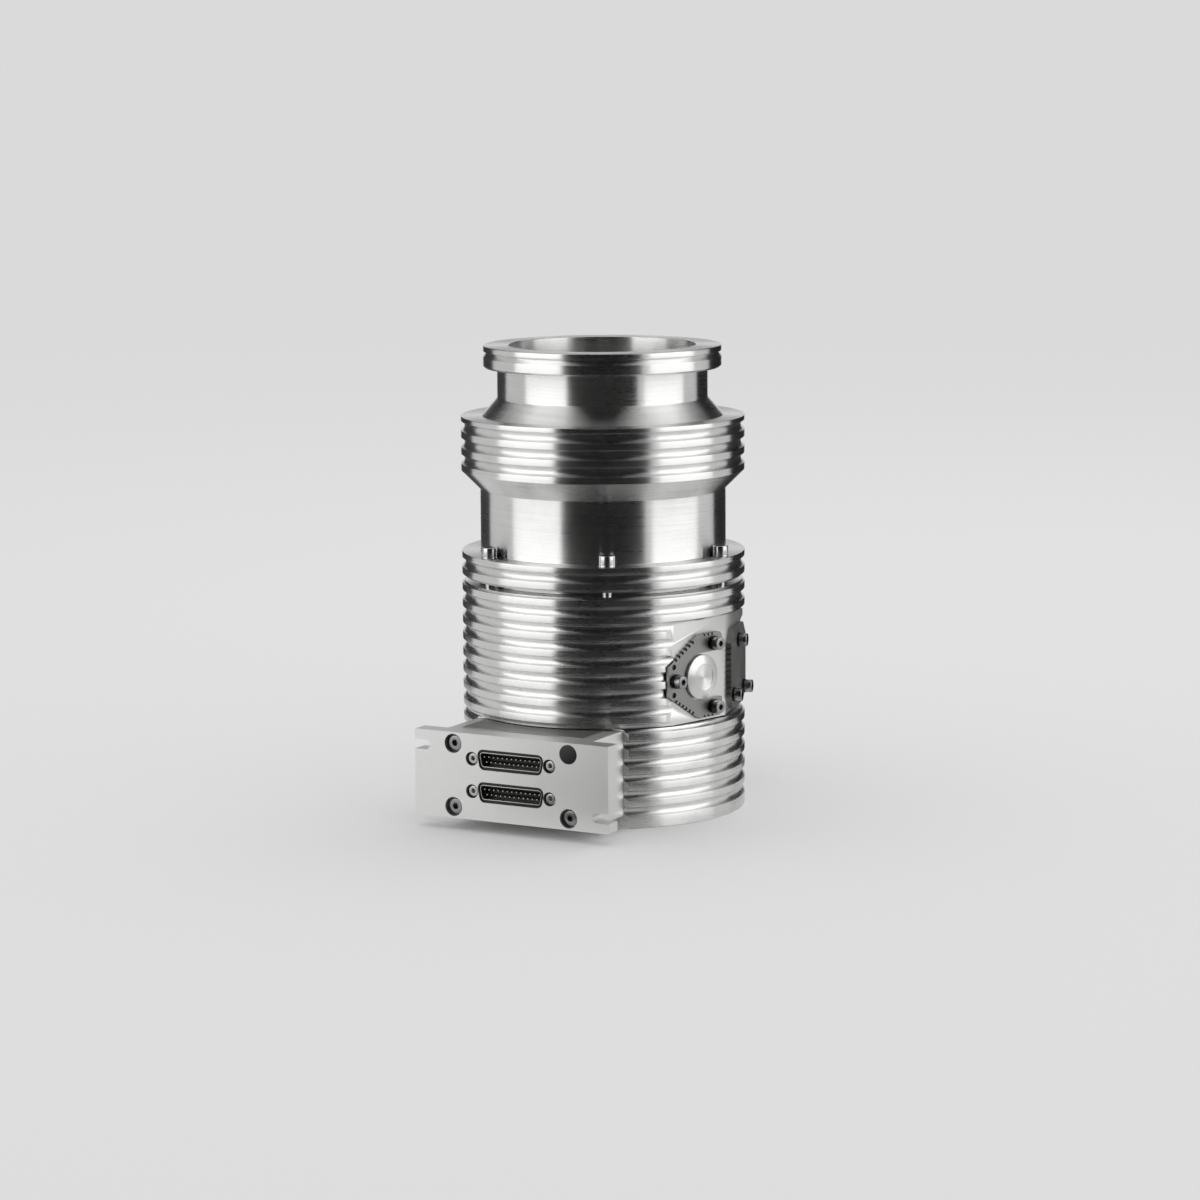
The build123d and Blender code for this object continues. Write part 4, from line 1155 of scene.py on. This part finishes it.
@dataclass
class Turbine:
    """Rotor seen through the inlet: bell hub with tilted blade rows, clamp washer and bolt."""

    hub: float = 30.0
    hub_slope: float = 8.0
    hub_slope_drop: float = 6.0
    head_rise: float = 2.0  # hub above the first row
    tip: float = 50.5
    tip_clear: float = 0.05
    root_sink: float = 1.0
    wall: float = 6.0
    cavity_drop: float = 26.0
    blades: int = 20
    rows: int = 6
    row_height: float = 6.0
    pitch: float = 13.0
    lean: float = 40.0
    thick: float = 1.6
    drum: float = 51.5
    drum_wall: float = 2.5
    drum_web: float = 4.0
    spigot: float = 6.05
    clamp: float = 12.0
    clamp_bore: float = 2.8
    clamp_thick: float = 3.0
    bolt_length: float = 14.0

    def build(self) -> None:
        """Builds the hub, the blades and what clamps them."""
        low, top = height_of("turbine", False), height_of("turbine", True)
        first = top - self.head_rise - self.row_height
        drum_top = first - (self.rows - 1) * self.pitch
        cavity, cavity_top, web = self.hub - self.wall, top - self.cavity_drop, drum_top - self.drum_web
        inner = self.drum - self.drum_wall
        hub = lathe("rotor_bell", [
            (self.spigot, top, 0.3), (self.hub - self.hub_slope, top, 0.6),
            (self.hub, top - self.hub_slope_drop, 1.5), (self.hub, drum_top, 0.8), (self.drum, drum_top, 0.4),
            (self.drum, low, 0.3), (inner, low, 0.3), (inner, web, 1.0), (cavity, web, 1.0),
            (cavity, cavity_top, 1.0), (self.spigot, cavity_top, 0)])
        rotor = joined("rotor_turned", [hub, self.build_blades(first)])
        dress(rotor, ROTOR_ALUMINIUM, "turbine", ROTOR)
        clamp_top = top + self.clamp_thick
        bore, rim = self.clamp_bore, self.clamp
        clamp = lathe("rotor_clamp_ring", [(bore, top, 0), (rim, top, 0.2), (rim, clamp_top, 0.5),
                                           (bore, clamp_top, 0)], 120)
        dress(clamp, SCREW_STEEL, "rotor_clamp", ROTOR)
        bolt = place(CapScrew(M5, self.bolt_length).build("rotor_cap_screw"), moved(z=clamp_top))
        dress(bolt, SCREW_STEEL, "rotor_bolt", ROTOR)

    def build_blades(self, first: float) -> Piece:
        """Builds every row of blades, where first is the foot of the top row."""
        tall = self.row_height
        rise = tall * math.tan(math.radians(self.lean)) / 2
        half = self.thick / math.cos(math.radians(self.lean)) / 2
        edge = math.sqrt(self.tip**2 - (rise + half) ** 2) - self.tip_clear
        section = [(-rise - half, 0), (-rise + half, 0), (rise + half, tall), (rise - half, tall)]
        outwards = Matrix(((0, 0, 1, 0), (1, 0, 0, 0), (0, 1, 0, 0), (0, 0, 0, 1)))
        root = self.hub - self.root_sink
        blade = soften(prism("blade", section, edge - root, moved(root) @ outwards), 0.25, 1)
        return copied(blade, [moved(z=first - n * self.pitch) @ turned(math.tau * m / self.blades)
                              for n in range(self.rows) for m in range(self.blades)], "blades")


def dress_cad(frame: dict) -> None:
    """Gives every CAD node that still shows the finish of its record slot."""
    slots = {part["node"]: part["material_slot"] for part in frame["record"]["subparts"]}
    for name, nodes in frame["nodes"].items():
        for node in nodes if isinstance(nodes, (list, tuple)) else [nodes]:
            for slot in node.material_slots:
                slot.material = SLOT_FINISHES[slots[name]].make()


# ---- studio ----
class Work(Enum):
    """What a lamp does: a shine only shows in metal, and a wash only lights the floor and dull surfaces."""

    SHINE = "shine"
    WASH = "wash"


@dataclass(frozen=True)
class Panel:
    """Soft rectangular panel that faces a point on the axis. Lengths are in metres.

    Args:
        name: name of the lamp.
        turn: direction from the pump, in degrees from the camera's side towards its right.
        distance: from the axis.
        width: of the panel.
        height: of the panel.
        middle: height of its middle.
        glow: how bright its surface looks, where 1 is white.
        work: what it lights.
        aim: height that it faces on the axis.
    """

    name: str
    turn: float
    distance: float
    width: float
    height: float
    middle: float
    glow: float
    work: Work = Work.SHINE
    aim: float = 0.77

    def build(self, azimuth: float) -> None:
        """Hangs the panel, where azimuth is the camera's, in degrees."""
        light = bpy.data.lights.new(f"panel_{self.name}", "AREA")
        light.shape = "RECTANGLE"
        light.size, light.size_y = self.width, self.height
        light.energy = self.glow * math.pi * self.width * self.height
        lamp = bpy.data.objects.new(light.name, light)
        bpy.context.collection.objects.link(lamp)
        angle = math.radians(azimuth + self.turn)
        lamp.location = (math.sin(angle) * self.distance, -math.cos(angle) * self.distance, self.middle)
        look = Vector((0, 0, self.aim)) - lamp.location
        lamp.rotation_euler = look.to_track_quat("-Z", "Y").to_euler()
        lamp.visible_diffuse = self.work is Work.WASH
        lamp.visible_glossy = self.work is Work.SHINE


@dataclass(frozen=True)
class Screen:
    """Dark cloth screen that only shows in metal: it lies on the floor and rises to a dome over the pump.

    Args:
        name: name of the screen.
        turn: direction of its middle from the camera's side, in degrees.
        spread: angle that it covers, in degrees.
        near: where it starts on the floor, in metres from the axis.
        colour: sRGB hex colour of the cloth.
        radius: of the dome, in metres.
        lift: above the floor, in metres.
        steps: facets of its rise.
        spread_steps: facets of its spread.
    """

    name: str
    turn: float
    spread: float
    near: float
    colour: str
    radius: float = 3.0
    lift: float = 0.003
    steps: int = 12
    spread_steps: int = 16

    def build(self, azimuth: float) -> None:
        """Hangs the screen, where azimuth is the camera's, in degrees."""
        profile = [(self.near, self.lift)]
        for rise in (math.radians(90 * n / self.steps) for n in range(self.steps)):
            profile.append((self.radius * math.cos(rise), self.radius * math.sin(rise) + self.lift))
        screen = outline_piece(f"screen_{self.name}", [(x / MM, y / MM) for x, y in profile], filled=False)
        with editing(screen, "DESELECT"):
            pass  # this only clears the selection
        for edge in screen.data.edges:  # only the one that closes the outline
            edge.select = set(edge.vertices) == {0, self.steps}
        with editing(screen, ""):
            bpy.ops.mesh.delete(type="EDGE")
        start = math.radians(azimuth + self.turn - self.spread / 2 - 90)
        place(screen, turned(start) @ Matrix.Rotation(math.pi / 2, 4, "X"))
        with editing(screen):
            bpy.ops.mesh.spin(steps=self.spread_steps, angle=-math.radians(self.spread), center=(0, 0, 0),
                              axis=(0, 0, 1))
        material, _, shader = new_material(f"cloth_{self.name}")
        shader.inputs["Base Color"].default_value = linear(self.colour)
        shader.inputs["Roughness"].default_value = 1.0
        screen.data.materials.append(material)
        screen.visible_camera = screen.visible_diffuse = screen.visible_shadow = False


FITTINGS = (
    Panel("left", -65, 1.2, 1.15, 1.5, 0.77, 1.3),
    Panel("right", 71, 1.2, 1.15, 1.5, 0.77, 1.3),
    Panel("wash", 150, 0.9, 1.2, 1.2, 1.7, 0.5, Work.WASH, 0.0),
    Screen("front", 0, 76, 0.14, "#181818"),
    Screen("left_rear", -148, 36, 0.4, "#404040"),
    Screen("right_rear", 145, 42, 0.13, "#242424"),
)


@dataclass
class Studio:
    """Wide white floor, even daylight, panels and screens round the pump, and the camera.

    Lengths are in metres and angles in degrees.
    """

    azimuth: float = 28.5
    elevation: float = 8.662
    distance: float = 2.01866
    target: float = 0.11233
    lens: float = 110.1
    sensor: float = 36.0
    shift: float = -0.00305
    roll: float = -0.332
    floor_colour: str = "#FFFFFF"
    floor_radius: float = 60.0
    floor_thick: float = 0.01
    floor_roughness: tuple[float, float] = (0.7, 0.9)
    floor_grain: float = 40.0  # changes in a metre
    daylight: float = 0.7

    def build(self) -> None:
        """Builds the whole studio."""
        self.build_floor()
        self.build_world()
        for fitting in FITTINGS:
            fitting.build(self.azimuth)
        self.build_camera()
        bpy.context.scene.view_settings.view_transform = "Standard"

    def build_floor(self) -> None:
        """Builds the matt floor."""
        floor = prism("floor", round_outline(self.floor_radius / MM, 96), self.floor_thick / MM,
                      moved(z=-self.floor_thick / MM))
        material, tree, shader = new_material("matt_studio_floor")
        spot = add_node(tree, "TexCoord", out="Object")
        noise = add_node(tree, "TexNoise", {"Vector": spot, "Scale": self.floor_grain})
        low, high = self.floor_roughness
        rough = add_node(tree, "MapRange", {"Value": noise, "To Min": low, "To Max": high})
        tree.links.new(rough, shader.inputs["Roughness"])
        shader.inputs["Base Color"].default_value = linear(self.floor_colour)
        shader.inputs["Specular IOR Level"].default_value = 0.0
        floor.data.materials.append(material)

    def build_world(self) -> None:
        """Lights the room evenly, as bright as the lit floor, so that no horizon shows."""
        world = bpy.data.worlds.new("studio")
        world.use_nodes = True
        sky = world.node_tree.nodes["Background"]
        sky.inputs["Color"].default_value = linear("#FFFFFF")
        sky.inputs["Strength"].default_value = self.daylight
        bpy.context.scene.world = world

    def build_camera(self) -> None:
        """Stands the camera and makes it the scene's camera."""
        data = bpy.data.cameras.new("camera")
        data.lens, data.sensor_width, data.shift_x = self.lens, self.sensor, self.shift
        camera = bpy.data.objects.new("camera", data)
        bpy.context.collection.objects.link(camera)
        turn, rise = math.radians(self.azimuth), math.radians(self.elevation)
        away = Vector((math.sin(turn) * math.cos(rise), -math.cos(turn) * math.cos(rise), math.sin(rise)))
        stand = Matrix.Translation(Vector((0, 0, self.target)) + away * self.distance)
        look = (-away).to_track_quat("-Z", "Y").to_matrix().to_4x4()
        camera.matrix_world = stand @ look @ turned(math.radians(self.roll))
        bpy.context.scene.camera = camera


def main() -> None:
    """Builds every sub-assembly on the CAD frame, then the studio."""
    logging.basicConfig(level=logging.INFO, format="%(message)s")
    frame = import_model()
    dress_cad(frame)
    for unit in (InletHousing, LowerHousing, Base, ForePort, SideCovers, ConnectorUnit, Turbine):
        unit().build()
        LOG.info("%s done", unit.__name__)
    Studio().build()
    deselect()


if __name__ == "__main__":
    main()
